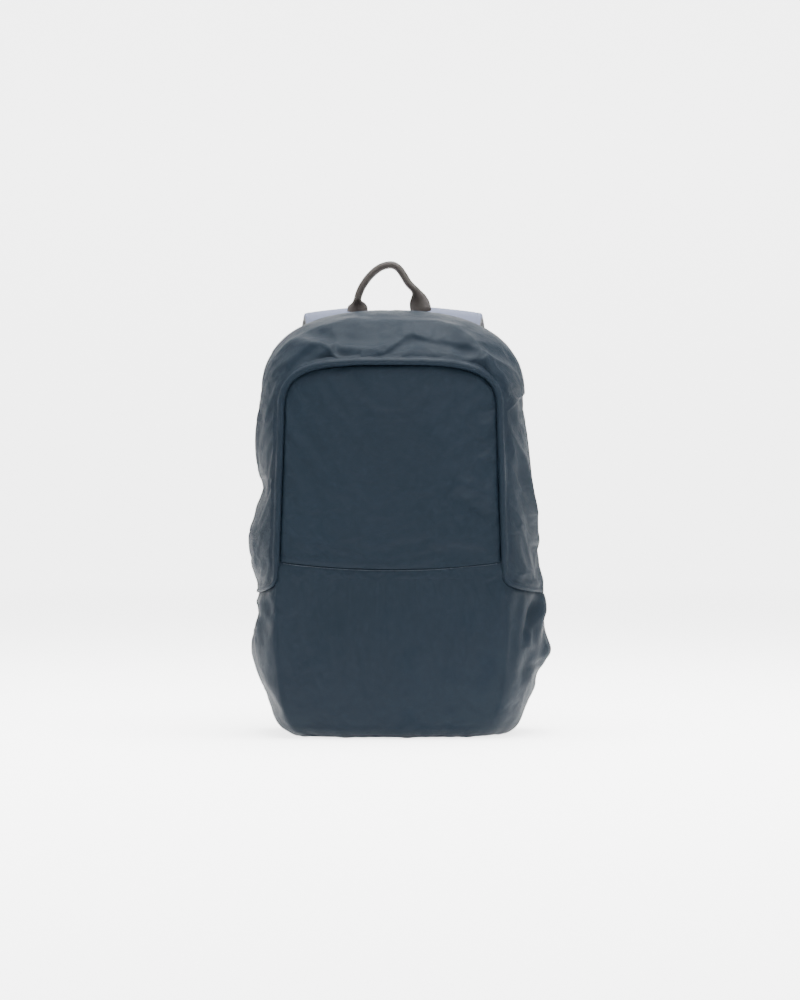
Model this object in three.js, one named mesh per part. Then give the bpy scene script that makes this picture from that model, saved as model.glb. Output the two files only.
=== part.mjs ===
// A soft anti-theft daypack, standing on its base: fabric body panels with a gap between them at each
// seam, a padded back with a hidden zip round it, two padded shoulder straps and a webbing handle.
// Lengths are in millimetres. +Z is up, the front faces -Y, and the origin is the middle of the base.
import * as THREE from "three";

// Body
const bodyHeight = 426; // floor to the crest of the top
const bodyHalfWidth = 147; // middle plane to the fullest part of a side
const frontDepth = 83; // middle plane to the fullest part of the front
const backDepth = 62; // middle plane to the flat back
const domeRise = 86; // from the straight sides' upper end to the crest
const shoulderHalfWidth = 132; // where the domed top begins
const domeSquareness = 2.4; // superellipse exponent of the top, seen from the front
const sideRidge = 8; // how far behind the middle plane a side is widest
const crestInset = 32; // from the flat back forward to where the top is highest
const crestShift = -1.5; // the top leans a little to the left
const cornerRoundness = 1.6; // superellipse exponent between the front edge and the ridge
const backCornerRoundness = 2.8; // and between the ridge and the flat back
const rimInset = 11; // from the ridge in to the edge of the flat back
const fabric = 1.8; // thickness of a fabric wall
const seamGap = 0.9; // clear width between two panels at a seam
const rollGap = 1.5; // from the middle of the edge roll out to the gusset under it
const seat = 0.35; // clearance under a piece that lies on another
const hemFade = 20; // distance from the base and the back over which folds fade in
const rollFade = 11; // and from the edge roll
const shoulderHeight = bodyHeight - domeRise;
const crestRidge = backDepth - crestInset;

// Front panel, inside the raised edge roll
const panelShift = -2.3; // the panel sits a little to the left, as the stuffed bag leans
const panelHalfTop = 107;
const panelHalfFoot = 111.5;
const panelDrop = 58; // from the crest of the bag down to the panel's
const panelArch = 58; // height of the panel's rounded top
const panelSquareness = 3.6;
const panelFoot = 157; // lower end of the edge roll, where the side seams begin
const pocketSeamMiddle = 166.5; // the seam across the front sags in the middle
const pocketSeamEnd = 174;
const sideSeam = 142.5; // height of the side seam at the ridge
const seamTurn = 0.45; // how sharply the side seam turns out from the edge roll; 1 is straight
const frontCrown = 10; // how much fuller the front is in its middle than at its edges
const rollWidth = 7;
const rollHeight = 3;
const rollLift = 1.07; // from the panels' faces out to the roll's underside
const panelTop = bodyHeight - panelDrop;
const panelShoulder = panelTop - panelArch;

// Back
const borderWidth = 14; // flat zip border between the rim and the pad
const padThickness = 10;
const padRound = 3;
const padFoot = 88; // height of the pad's lower edge
const padCorner = 18;
const zipEnd = 112; // height where each end of the zip stops
const coilWidth = 5;
const coilHeight = 1.8;
const sliderLength = 13;
const sliderWidth = 10;
const sliderHeight = 3;
const pullLength = 28;
const pullWidth = 7;
const pullThickness = 1.5;
const padFace = backDepth + padThickness - fabric;

// Shoulder straps, webbing and ladder locks
const strapThickness = 8;
const meshThickness = 2; // spacer mesh under each strap
const meshGap = 1; // between a strap and its mesh
const meshInset = 2; // from the strap's edge in to the mesh's
const strapWidth = 66; // at the widest
const strapStandoff = 34; // from the pad's face out to the strap, at the most
const strapTilt = 6; // degrees by which a strap leans outward over the arch
const webbingWidth = 25;
const webbingThickness = 1.5;
const webbingPlay = 1; // room at each edge of the webbing in a slot or a tab
const lockWidth = 33;
const lockThickness = 3.2;
const lockBar = 4;
const lockPitch = 12; // between the middles of the upper and middle bars
const lockFoot = 9; // between the middles of the middle and lower bars
const lockTaper = 3; // by which each side of the lock draws in at its foot
const loopReach = 10; // length of the short webbing loop between a strap and its lock
const tabLift = 16.1; // floor to the lower edge of a tab
const tabHeight = 46;
const tabWidth = 34;
const tabThickness = 2.4;
const tailLength = 92; // free end of the webbing below each lock

// Handle
const handleRise = 47; // crest of the body to the middle of the grip
const handleHalfSpan = 33.7; // middle of the handle to the middle of each foot
const handleShift = -3.7; // of the handle's middle from the body's
const handleSetBack = 20; // behind the crest
const gripWidth = 7.2; // of the folded webbing, in the front view
const gripThickness = 9.5;
const footWidth = 21.5;
const footThickness = 2.4;
const footClearance = 8; // round a foot, where the gusset's folds pass under it

// Half widths of the body, as shares of bodyHalfWidth, at shares of shoulderHeight
const sides = [
  { height: 0.0, left: 0.69, right: 0.775 },
  { height: 0.025, left: 0.775, right: 0.85 },
  { height: 0.09, left: 0.85, right: 0.915 },
  { height: 0.165, left: 0.92, right: 0.995 },
  { height: 0.25, left: 0.945, right: 1.045 },
  { height: 0.34, left: 0.93, right: 1.025 },
  { height: 0.43, left: 0.925, right: 1.025 },
  { height: 0.5, left: 0.955, right: 1.0 },
  { height: 0.575, left: 0.965, right: 0.98 },
  { height: 0.66, left: 0.945, right: 0.965 },
  { height: 0.74, left: 0.915, right: 0.95 },
  { height: 0.86, left: 0.925, right: 0.92 },
  { height: 1.0, left: 0.9, right: 0.885 },
];

// Depth of the front and half width of its flat part, at shares of panelTop
const profile = [
  { height: 0.0, depth: 0.64, corner: 0.74 },
  { height: 0.03, depth: 0.77, corner: 0.84 },
  { height: 0.08, depth: 0.87, corner: 0.915 },
  { height: 0.16, depth: 0.95, corner: 0.965 },
  { height: 0.29, depth: 1.0, corner: 1.0 },
  { height: 0.42, depth: 0.995, corner: 1.0 },
  { height: 0.65, depth: 0.95, corner: 1.0 },
  { height: 0.86, depth: 0.86, corner: 1.0 },
  { height: 1.0, depth: 0.75, corner: 1.0 },
];

// Folds and dents: a line from one point to another, x, y and z being shares of bodyHalfWidth,
// frontDepth and bodyHeight. A fold stands up by `rise` of frontDepth, or sinks if that is negative,
// and fades over `spread` of bodyHalfWidth to each side.
const folds = [
  // top left corner crease
  { from: [-0.5, -0.4, 0.93], to: [-0.34, -0.72, 0.875], rise: -0.05, spread: 0.075 },
  // top left corner ridge
  { from: [-0.66, -0.3, 0.9], to: [-0.42, -0.62, 0.9], rise: 0.04, spread: 0.08 },
  // arch fold, left
  { from: [-0.72, -0.2, 0.86], to: [-0.3, -0.2, 0.955], rise: 0.035, spread: 0.09 },
  // arch fold, middle
  { from: [-0.2, -0.25, 0.95], to: [0.3, -0.22, 0.952], rise: 0.03, spread: 0.08 },
  // arch hollow
  { from: [-0.28, -0.5, 0.915], to: [0.42, -0.5, 0.912], rise: -0.04, spread: 0.09 },
  // top right corner ridge
  { from: [0.4, -0.3, 0.945], to: [0.62, -0.66, 0.875], rise: 0.045, spread: 0.07 },
  // top right corner crease
  { from: [0.5, -0.6, 0.9], to: [0.76, -0.2, 0.87], rise: -0.045, spread: 0.08 },
  // left waist dent
  { from: [-0.93, -0.3, 0.57], to: [-0.92, 0.45, 0.58], rise: -0.035, spread: 0.14 },
  // left side ridge
  { from: [-0.9, -0.1, 0.74], to: [-0.92, 0.15, 0.62], rise: 0.03, spread: 0.08 },
  // left hip bulge
  { from: [-0.97, -0.3, 0.44], to: [-0.96, 0.35, 0.45], rise: 0.03, spread: 0.16 },
  // right side ridge
  { from: [0.9, -0.35, 0.64], to: [0.98, 0.1, 0.47], rise: 0.035, spread: 0.07 },
  // right side hollow
  { from: [0.84, -0.5, 0.6], to: [0.93, -0.2, 0.4], rise: -0.04, spread: 0.1 },
  // left foot crease
  { from: [-0.95, -0.3, 0.315], to: [-0.9, 0.2, 0.275], rise: -0.04, spread: 0.07 },
  // left foot bulge
  { from: [-0.95, -0.4, 0.22], to: [-0.95, 0.3, 0.2], rise: 0.04, spread: 0.14 },
  // left hem dent
  { from: [-0.88, -0.35, 0.1], to: [-0.85, 0.3, 0.12], rise: -0.03, spread: 0.1 },
  // right foot ridge
  { from: [1.02, -0.1, 0.31], to: [0.92, -0.55, 0.215], rise: 0.05, spread: 0.07 },
  // right foot valley
  { from: [0.96, -0.5, 0.285], to: [0.9, -0.6, 0.16], rise: -0.05, spread: 0.08 },
  // right foot knuckle
  { from: [1.03, -0.1, 0.19], to: [1.03, 0.2, 0.2], rise: 0.06, spread: 0.09 },
  // right foot notch
  { from: [1.0, -0.2, 0.14], to: [1.0, 0.3, 0.145], rise: -0.04, spread: 0.07 },
  // front left hollow
  { from: [-0.72, -0.9, 0.16], to: [-0.5, -1.0, 0.3], rise: -0.035, spread: 0.16 },
  // front panel hollow
  { from: [-0.6, -0.95, 0.75], to: [-0.5, -0.97, 0.52], rise: -0.03, spread: 0.16 },
  // front panel fold
  { from: [0.4, -0.97, 0.61], to: [0.68, -0.9, 0.55], rise: 0.02, spread: 0.1 },
];

// Centre line of a shoulder strap. x is a share of bodyHalfWidth, z of bodyHeight, `out` of
// strapStandoff behind the pad, width of strapWidth, thickness of strapThickness and tilt of strapTilt.
const strap = [
  { x: 0.34, out: 0.27, z: 0.885, width: 0.9, thickness: 0.5, tilt: 0.6 },
  { x: 0.36, out: 0.28, z: 0.93, width: 0.96, thickness: 0.7, tilt: 0.9 },
  { x: 0.385, out: 0.36, z: 0.974, width: 1.0, thickness: 0.9, tilt: 1.0 },
  { x: 0.405, out: 0.62, z: 1.003, width: 1.0, thickness: 1.0, tilt: 1.0 },
  { x: 0.42, out: 0.88, z: 0.98, width: 1.0, thickness: 1.0, tilt: 1.0 },
  { x: 0.435, out: 1.0, z: 0.93, width: 1.0, thickness: 1.0, tilt: 0.85 },
  { x: 0.475, out: 1.02, z: 0.85, width: 0.99, thickness: 1.0, tilt: 0.5 },
  { x: 0.53, out: 0.96, z: 0.74, width: 0.95, thickness: 1.0, tilt: 0.15 },
  { x: 0.58, out: 0.86, z: 0.63, width: 0.86, thickness: 1.0, tilt: 0.0 },
  { x: 0.615, out: 0.76, z: 0.53, width: 0.7, thickness: 0.95, tilt: 0.0 },
  { x: 0.63, out: 0.68, z: 0.46, width: 0.54, thickness: 0.8, tilt: 0.0 },
];

// Way of the adjusting webbing up from its tab. z is a share of tabHeight above the tab's middle, and
// inward and out are shares of webbingWidth toward the middle plane and away from the tab.
const rising = [
  { z: -0.3, inward: 0, out: 0 },
  { z: 0.2, inward: 0, out: 0 },
  { z: 0.7, inward: 0.08, out: 0.12 },
];
const slack = 0.6; // share of the way up to the lock where the webbing has left its tab's plane

// Free end of the webbing. fall is a share of tailLength below the lock, and outward and out are
// shares of webbingWidth away from the middle plane and from the back.
const tail = [
  { fall: 0, outward: 0, out: 0 },
  { fall: 0.35, outward: 0.12, out: 0.08 },
  { fall: 0.7, outward: 0.28, out: 0 },
  { fall: 1, outward: 0.36, out: -0.16 },
];

// Centre line of the handle from its left foot to its right one. x is a share of handleHalfSpan and
// rise of the way up from the foot to the grip; flat is 0 where the webbing is folded and 1 where flat.
const handle = [
  { x: -1.0, rise: 0.0, flat: 0.95 },
  { x: -1.0, rise: 0.13, flat: 0.95 },
  { x: -1.005, rise: 0.21, flat: 0.65 },
  { x: -1.0, rise: 0.29, flat: 0.0 },
  { x: -0.83, rise: 0.57, flat: 0.05 },
  { x: -0.67, rise: 0.74, flat: 0.05 },
  { x: -0.38, rise: 0.92, flat: 0.03 },
  { x: -0.04, rise: 1.0, flat: 0.0 },
  { x: 0.2, rise: 0.975, flat: 0.0 },
  { x: 0.4, rise: 0.9, flat: 0.0 },
  { x: 0.63, rise: 0.72, flat: 0.0 },
  { x: 0.78, rise: 0.58, flat: 0.0 },
  { x: 0.87, rise: 0.44, flat: 0.5 },
  { x: 0.99, rise: 0.18, flat: 0.97 },
  { x: 1.0, rise: 0.0, flat: 1.0 },
];

// Grid steps of the fabric panels
const sideSteps = 17; // up a side between the side seam and the shoulder
const domeSteps = 30; // over the domed top
const bandSteps = 11; // from the edge roll round to the flat back
const frontSteps = 12; // across the front
const hemSteps = 12; // up the lower panel
const panelSteps = 15; // up the front panel
const panelArchEnd = 0.47; // last row of its rounded top, in half turns; the row keeps some width
const hemSpacing = 1.25; // the lower panel's rows lie closer together toward the base
const pocketRows = [0, 0.15, 0.6, 1]; // from its side seams' level up to the pocket seam
const rimSteps = 14; // up each side of the flat back

// Steps of the smaller pieces
const cornerSteps = 4; // round a lower corner of the pad
const strapSteps = 30; // along a shoulder strap
const turnSteps = 6; // round a bar of the lock
const risingSteps = 16; // along the webbing below the lock
const tailSteps = 7; // and along its free end
const gripSides = 8; // round the handle
const softEdge = 0.8; // share of a padded strip's thickness that its edges round off
const flatEdge = 0.6; // superellipse power of the handle's section where it lies flat

const lerp = THREE.MathUtils.lerp;
const counted = (count, make) => Array.from({ length: count }, (_, i) => make(i));

// Evenly spaced shares from `from` to `to`, both included.
const shares = (steps, from = 0, to = 1) => counted(steps + 1, (i) => lerp(from, to, i / steps));

// A column of a table at a place along its first column, through a smooth monotone curve.
function column(rows, along, name, at) {
  const last = rows.length - 1;
  let i = rows.findIndex((row) => row[along] >= at);
  i = i < 0 ? last : Math.max(i, 1);
  const slope = (k) => (rows[k + 1][name] - rows[k][name]) / (rows[k + 1][along] - rows[k][along]);
  const tangent = (k) => {
    if (k === 0) return slope(0);
    if (k === last) return slope(last - 1);
    const [before, after] = [slope(k - 1), slope(k)];
    return before * after <= 0 ? 0 : (2 * before * after) / (before + after);
  };
  const [a, b] = [rows[i - 1], rows[i]];
  const step = b[along] - a[along];
  const t = THREE.MathUtils.clamp((at - a[along]) / step, 0, 1);
  const [t2, t3] = [t * t, t * t * t];
  return (
    (2 * t3 - 3 * t2 + 1) * a[name] +
    (t3 - 2 * t2 + t) * step * tangent(i - 1) +
    (3 * t2 - 2 * t3) * b[name] +
    (t3 - t2) * step * tangent(i)
  );
}

// Half width of the body at a height, on the left (-1) or the right (1).
const halfWidth = (z, side) =>
  bodyHalfWidth * column(sides, "height", side < 0 ? "left" : "right", z / shoulderHeight);

// Half width of the flat part of the front at a height.
function frontHalfWidth(z) {
  const up = THREE.MathUtils.clamp((z - panelFoot) / (panelShoulder - panelFoot), 0, 1);
  return lerp(panelHalfFoot, panelHalfTop, up) * column(profile, "height", "corner", z / panelTop);
}

// y of the front at a point of the front view.
function frontY(x, z) {
  const across = Math.min(1, Math.abs(x - panelShift) / frontHalfWidth(z));
  return -frontDepth * column(profile, "height", "depth", z / panelTop) + frontCrown * across ** 3;
}

// A point of a superellipse arch from the left shoulder (0) over the top (0.5) to the right one (1).
function arch(share, halfLeft, halfRight, foot, top, squareness) {
  const angle = share * Math.PI;
  const power = 2 / squareness;
  const c = Math.cos(angle);
  const half = c > 0 ? halfLeft : halfRight;
  return [-Math.sign(c) * half * Math.abs(c) ** power, foot + (top - foot) * Math.sin(angle) ** power];
}

// The three lines that guide the surface from front to back, at a height level of one side: the edge
// of the front, the ridge of the side and the rim of the flat back. Level 0 is the base, 1 the side
// seam and 2 the shoulder.
function sideGuides(level, side) {
  const up = Math.max(0, level - 1);
  const down = Math.min(1, level);
  const at = (seam, top) => (level < 1 ? down * seam : lerp(seam, top, up));
  const [zFront, zRidge] = [at(panelFoot, panelShoulder), at(sideSeam, shoulderHeight)];
  const xFront = panelShift + side * frontHalfWidth(zFront);
  const xRidge = level < 2 ? side * halfWidth(zRidge, side) : side * shoulderHalfWidth;
  return [
    new THREE.Vector3(xFront, frontY(xFront, zFront), zFront),
    new THREE.Vector3(xRidge, sideRidge, zRidge),
    new THREE.Vector3(xRidge - side * rimInset, backDepth, zRidge),
  ];
}

// The same three guides at a share of the way over the domed top.
function domeGuides(share) {
  const lift = Math.sin(share * Math.PI);
  const [xf, zf] = arch(share, panelHalfTop, panelHalfTop, panelShoulder, panelTop, panelSquareness);
  const outer = shoulderHalfWidth;
  const inner = outer - rimInset;
  const [xr, zr] = arch(share, outer, outer, shoulderHeight, bodyHeight, domeSquareness);
  const [xb, zb] = arch(share, inner, inner, shoulderHeight, bodyHeight - rimInset, domeSquareness);
  return [
    new THREE.Vector3(panelShift + xf, frontY(panelShift + xf, zf), zf),
    new THREE.Vector3(crestShift * lift + xr, lerp(sideRidge, crestRidge, lift), zr),
    new THREE.Vector3(crestShift * lift + xb, backDepth, zb),
  ];
}

// A point on the way from the front edge (0) over the ridge (ridgeShare) to the rim (1). `turn` says
// how early its height changes from the front edge's to the ridge's.
const ridgeShare = 0.6;
function across([front, ridge, rim], share, turn = 1) {
  const onFront = share <= ridgeShare;
  const angle = (onFront ? share / ridgeShare : (share - ridgeShare) / (1 - ridgeShare)) * (Math.PI / 2);
  const power = 2 / (onFront ? cornerRoundness : backCornerRoundness);
  const out = onFront ? Math.sin(angle) ** power : Math.cos(angle) ** power;
  const back = onFront ? 1 - Math.cos(angle) ** power : Math.sin(angle) ** power;
  const start = onFront ? front : rim;
  return new THREE.Vector3(
    lerp(start.x, ridge.x, out),
    onFront ? lerp(front.y, ridge.y, back) : lerp(ridge.y, rim.y, back),
    lerp(start.z, ridge.z, onFront ? out ** turn : out),
  );
}

// How early the heights change at a level: early at the side seam, and evenly away from it.
const turnAt = (level) => lerp(seamTurn, 1, THREE.MathUtils.smoothstep(Math.abs(level - 1), 0, 0.5));

const foldEnd = ([x, y, z]) => new THREE.Vector3(x * bodyHalfWidth, y * frontDepth, z * bodyHeight);
const foldLines = folds.map(({ from, to, rise, spread }) => ({
  line: new THREE.Line3(foldEnd(from), foldEnd(to)),
  rise: rise * frontDepth,
  spread: spread * bodyHalfWidth,
}));

// Distance from a point to a line, which ends at its two ends.
function distanceTo(line, point) {
  return line.closestPointToPoint(point, true, new THREE.Vector3()).distanceTo(point);
}

// How far the folds raise the fabric at a point. They fade out toward the edge roll, the flat base
// and the flat back, whose own pieces hold the fabric there.
function foldRise(point) {
  const rise = foldLines.reduce(
    (sum, fold) => sum + fold.rise * Math.exp(-((distanceTo(fold.line, point) / fold.spread) ** 2)), 0);
  const fromRoll = Math.min(...rollLines.map((line) => distanceTo(line, point)));
  const fade = (distance, over) => THREE.MathUtils.smoothstep(distance, 0, over);
  return rise * fade(fromRoll, rollFade) * fade(point.z, hemFade) * fade(backDepth - point.y, hemFade);
}

// A sheet is an open mesh of the outer face: points and triangles of point indices.
class Sheet {
  points = [];
  triangles = [];
  known = new Map();

  // The index of a point, shared with any point already at the same place.
  indexOf(point) {
    const key = point.toArray().map((n) => Math.round(n * 1000)).join();
    if (!this.known.has(key)) this.known.set(key, this.points.push(point) - 1);
    return this.known.get(key);
  }

  // Adds a grid of rows of points, whose rows run so that the face looks outward.
  addGrid(rows) {
    const ids = rows.map((row) => row.map((point) => this.indexOf(point)));
    for (let j = 0; j + 1 < ids.length; j++) {
      for (let i = 0; i + 1 < ids[j].length; i++) {
        const [p, q, r, s] = [ids[j][i], ids[j][i + 1], ids[j + 1][i + 1], ids[j + 1][i]];
        this.triangles.push([p, q, r], [p, r, s]);
      }
    }
    return this;
  }

  // The face with its folds raised, and its vertex normals.
  raised() {
    const made = new THREE.BufferGeometry().setFromPoints(this.points).setIndex(this.triangles.flat());
    made.computeVertexNormals();
    const folded = vectors(made, "position").map((point, i) =>
      point.addScaledVector(vectors(made, "normal")[i], foldRise(point)));
    made.setFromPoints(folded);
    made.computeVertexNormals();
    return made;
  }

  // The closed solid between this face and its copy a wall's thickness inside it.
  thicken(thickness) {
    const outer = this.raised();
    const normals = vectors(outer, "normal");
    const points = vectors(outer, "position");
    const count = points.length;
    const inside = points.map((point, i) => point.clone().addScaledVector(normals[i], -thickness));
    const index = [];
    const edges = new Map();
    for (const [p, q, r] of this.triangles) {
      index.push(p, q, r, r + count, q + count, p + count);
      for (const [from, to] of [[p, q], [q, r], [r, p]]) {
        if (!edges.delete(`${to} ${from}`)) edges.set(`${from} ${to}`, [from, to]);
      }
    }
    for (const [p, q] of edges.values()) index.push(q, p, p + count, q, p + count, q + count);
    return new THREE.BufferGeometry().setFromPoints([...points, ...inside]).setIndex(index);
  }
}

// An attribute of a geometry as vectors.
function vectors(geometry, name) {
  const attribute = geometry.getAttribute(name);
  return counted(attribute.count, (i) => new THREE.Vector3().fromBufferAttribute(attribute, i));
}

// The guides along the whole gusset, from the right side seam over the top to the left one.
function gussetGuides(startLevel) {
  const levels = shares(sideSteps, startLevel, 2).slice(0, -1);
  return [
    ...levels.map((level) => ({ guides: sideGuides(level, 1), turn: turnAt(level) })),
    ...shares(domeSteps).reverse().map((share) => ({ guides: domeGuides(share), turn: 1 })),
    ...levels.toReversed().map((level) => ({ guides: sideGuides(level, -1), turn: turnAt(level) })),
  ];
}

// The line of the edge roll, in short straight lengths.
const rollPoints = gussetGuides(1).map(({ guides: [front] }) => front);
const rollLines = rollPoints.slice(1).map((point, i) => new THREE.Line3(rollPoints[i], point));

// The outer face of the side and top band, whose front edge lies under the edge roll.
function gussetSheet() {
  const start = 1 + seamGap / (shoulderHeight - sideSeam);
  const rows = gussetGuides(start).map(({ guides, turn }) => {
    const row = shares(bandSteps).map((v) => across(guides, v, turn));
    const back = row[1].clone().sub(row[0]).setLength(rollGap);
    return [row[0].add(back), ...row.slice(1)];
  });
  return new Sheet().addGrid(rows);
}

// The side and top band, in one piece over the bag.
const gusset = () => gussetSheet().thicken(fabric);

// Height of the seam across the front at x.
function pocketSeam(x) {
  const share = (x - panelShift) / panelHalfFoot;
  return lerp(pocketSeamMiddle, pocketSeamEnd, share * share);
}

// The upper front panel, inside the edge roll.
function frontPanel() {
  const half = (z) => frontHalfWidth(z) - seamGap;
  const top = panelHalfTop - seamGap;
  const straight = shares(panelSteps).map((share) => (a) => {
    const x = panelShift + a * half(lerp(pocketSeamEnd, panelShoulder, share));
    const z = lerp(pocketSeam(x) + seamGap / 2, panelShoulder, share);
    return new THREE.Vector3(panelShift + a * half(z), 0, z);
  });
  const rounded = shares(Math.round(panelSteps / 2), 0, panelArchEnd).slice(1).map((share) => {
    const [x, z] = arch(share, top, top, panelShoulder, panelTop - seamGap, panelSquareness);
    return (a) => new THREE.Vector3(panelShift - a * x, 0, z);
  });
  const rows = [...straight, ...rounded].map((row) =>
    shares(frontSteps, -1, 1).map((a) => {
      const point = row(a);
      point.y = frontY(point.x, point.z);
      return point;
    }),
  );
  return new Sheet().addGrid(rows).thicken(fabric);
}

// The lower panel: the front below the pocket seam and both sides below the side seams, in one piece.
function lowerPanel() {
  const top = 1 - seamGap / (2 * sideSeam);
  const levels = shares(hemSteps).map((share) => share ** hemSpacing * top);
  const acrossFront = (z, toLeft, toRight) =>
    shares(frontSteps).map((share) => {
      const x = lerp(toLeft, toRight, share);
      return new THREE.Vector3(x, frontY(x, z), z);
    });
  const rows = levels.map((level) => {
    const [left, right] = [sideGuides(level, -1), sideGuides(level, 1)];
    const band = shares(bandSteps);
    return [
      ...band.toReversed().map((v) => across(left, v, turnAt(level))),
      ...acrossFront(left[0].z, left[0].x, right[0].x).slice(1, -1),
      ...band.map((v) => across(right, v, turnAt(level))),
    ];
  });
  const sheet = new Sheet().addGrid(rows);
  const foot = levels.at(-1) * panelFoot;
  const half = frontHalfWidth(foot);
  sheet.addGrid(
    pocketRows.map((share) =>
      shares(frontSteps, -1, 1).map((a) => {
        const x = panelShift + a * (half - (share > 0 ? seamGap : 0));
        const z = lerp(foot, pocketSeam(x) - seamGap / 2, share);
        return new THREE.Vector3(x, frontY(x, z), z);
      }),
    ),
  );
  return sheet.thicken(fabric);
}

// The outline of the base, `inset` inside the lower panel's outer face.
function baseOutline(inset) {
  const [left, right] = [sideGuides(0, -1), sideGuides(0, 1)];
  const band = shares(bandSteps);
  const points = [
    ...band.toReversed().map((v) => across(left, v)),
    ...shares(frontSteps).slice(1, -1).map((share) => {
      const x = lerp(left[0].x, right[0].x, share);
      return new THREE.Vector3(x, frontY(x, 0), 0);
    }),
    ...band.map((v) => across(right, v)),
  ].map((p) => new THREE.Vector2(p.x, p.y));
  return insetLoop(points, inset);
}

// A closed loop of points, turning left, moved inward by a distance.
function insetLoop(points, distance) {
  const count = points.length;
  return points.map((point, i) => {
    const before = points[(i + count - 1) % count];
    const after = points[(i + 1) % count];
    const [a, b] = [point.clone().sub(before).normalize(), after.clone().sub(point).normalize()];
    const normal = new THREE.Vector2(-(a.y + b.y), a.x + b.x).normalize();
    const stretch = Math.max(0.5, normal.dot(new THREE.Vector2(-a.y, a.x)));
    return point.clone().addScaledVector(normal, distance / stretch);
  });
}

// The flat bottom, held inside the foot of the lower panel.
function base() {
  const shape = new THREE.Shape(baseOutline(fabric + seamGap));
  return new THREE.ExtrudeGeometry(shape, { depth: fabric, bevelEnabled: false });
}

// The outline of the flat back in the front view, `inset` inside the rim, turning left.
function backOutline(inset) {
  const rim = (guides) => new THREE.Vector2(guides[2].x, guides[2].z);
  const levels = shares(rimSteps, 0, 2);
  const loop = [
    ...levels.map((level) => rim(sideGuides(level, 1))),
    ...shares(domeSteps).slice(1, -1).reverse().map((share) => rim(domeGuides(share))),
    ...levels.toReversed().map((level) => rim(sideGuides(level, -1))),
  ];
  return insetLoop(loop, inset);
}

// A flat piece from an outline in the front view, between two depths.
function slab(shape, from, to, bevel = 0) {
  const geometry = new THREE.ExtrudeGeometry(shape, {
    depth: to - from - 2 * bevel,
    bevelEnabled: bevel > 0,
    bevelSize: bevel,
    bevelThickness: bevel,
    bevelOffset: -bevel,
    bevelSegments: 2,
    curveSegments: 8,
  });
  return geometry.rotateX(Math.PI / 2).translate(0, to - bevel, 0);
}

// The outline of the padded back, which ends above the webbing tabs in two rounded corners.
function padOutline(inset) {
  const foot = padFoot + inset;
  const sides = backOutline(borderWidth + inset).filter((p) => p.y > foot + padCorner);
  const corner = (p, side) =>
    shares(cornerSteps).map((share) => {
      const angle = share * (Math.PI / 2);
      const x = p.x - side * padCorner * (1 - Math.cos(angle));
      return new THREE.Vector2(x, foot + padCorner * (1 - Math.sin(angle)));
    });
  return [...sides, ...corner(sides.at(-1), -1), ...corner(sides[0], 1).reverse()];
}

// The flat border round the padded back, which carries the zip and, below the pad, the tabs.
function zipBorder() {
  const shape = new THREE.Shape(backOutline(2 * seamGap + seat));
  shape.holes.push(new THREE.Path(padOutline(0)));
  return slab(shape, backDepth - fabric, backDepth);
}

// The padded back, inside the border. Its rounded front edge lies inside the bag.
const backPad = () =>
  slab(new THREE.Shape(padOutline(seat)), backDepth - fabric - padRound, padFace, padRound);

// A closed strip swept along points. `section(i)` gives its corner points as [across, out] at point i,
// turning left, and `frame(i)` the across and out directions there.
function sweep(points, frame, section) {
  const rings = points.map((point, i) => {
    const [acrossWay, outWay] = frame(i);
    return section(i).map(([wide, out]) =>
      point.clone().addScaledVector(acrossWay, wide).addScaledVector(outWay, out));
  });
  const wide = rings[0].length;
  const index = [];
  for (let j = 0; j + 1 < rings.length; j++) {
    for (let i = 0; i < wide; i++) {
      const [a, b] = [j * wide + i, j * wide + ((i + 1) % wide)];
      index.push(a, b, b + wide, a, b + wide, a + wide);
    }
  }
  const end = (rings.length - 1) * wide;
  for (let i = 1; i + 1 < wide; i++) index.push(0, i + 1, i, end, end + i, end + i + 1);
  return new THREE.BufferGeometry().setFromPoints(rings.flat()).setIndex(index);
}

// Direction of a line of points at point i.
function alongAt(points, i) {
  const before = points[Math.max(0, i - 1)];
  return points[Math.min(points.length - 1, i + 1)].clone().sub(before).normalize();
}

// Across and out directions of a strip whose width stays along X, or leans down from it by an angle.
const stripFrame = (points, lean = () => 0) => (i) => {
  const acrossWay = new THREE.Vector3(Math.cos(lean(i)), 0, -Math.sin(lean(i)));
  return [acrossWay, new THREE.Vector3().crossVectors(alongAt(points, i), acrossWay).normalize()];
};

// The same of a piece whose width lies in the front view, and whose thickness is along Y.
const flatFrame = (points, outWay) => (i) => {
  const out = new THREE.Vector3(0, outWay, 0);
  return [new THREE.Vector3().crossVectors(out, alongAt(points, i)).normalize(), out];
};

// Corner points of a strip's section with softened corners, from `low` to `high` in the out direction.
function padSection(width, low, high) {
  const half = width / 2;
  const soft = Math.min((high - low) / 2, half) * softEdge;
  const middle = (low + high) / 2;
  return [
    [-half, middle], [-half + soft, low], [half - soft, low],
    [half, middle], [half - soft, high], [-half + soft, high],
  ];
}

function flatSection(width, thickness) {
  const [w, t] = [width / 2, thickness / 2];
  return [[-w, -t], [w, -t], [w, t], [-w, t]];
}

// The raised roll of doubled fabric along the edge of the front panel, over the gusset's front edge.
function edgeRoll() {
  const face = gussetSheet().raised();
  const edge = (name) => vectors(face, name).filter((_, i) => i % (bandSteps + 1) === 0);
  const [points, normals] = [edge("position"), edge("normal")];
  const frame = (i) => {
    const along = alongAt(points, i);
    const normal = normals[i].clone().add(new THREE.Vector3(0, -1, 0));
    const out = normal.addScaledVector(along, -normal.dot(along)).normalize();
    return [new THREE.Vector3().crossVectors(out, along), out];
  };
  return sweep(points, frame, () => padSection(rollWidth, rollLift, rollLift + rollHeight));
}

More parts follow.
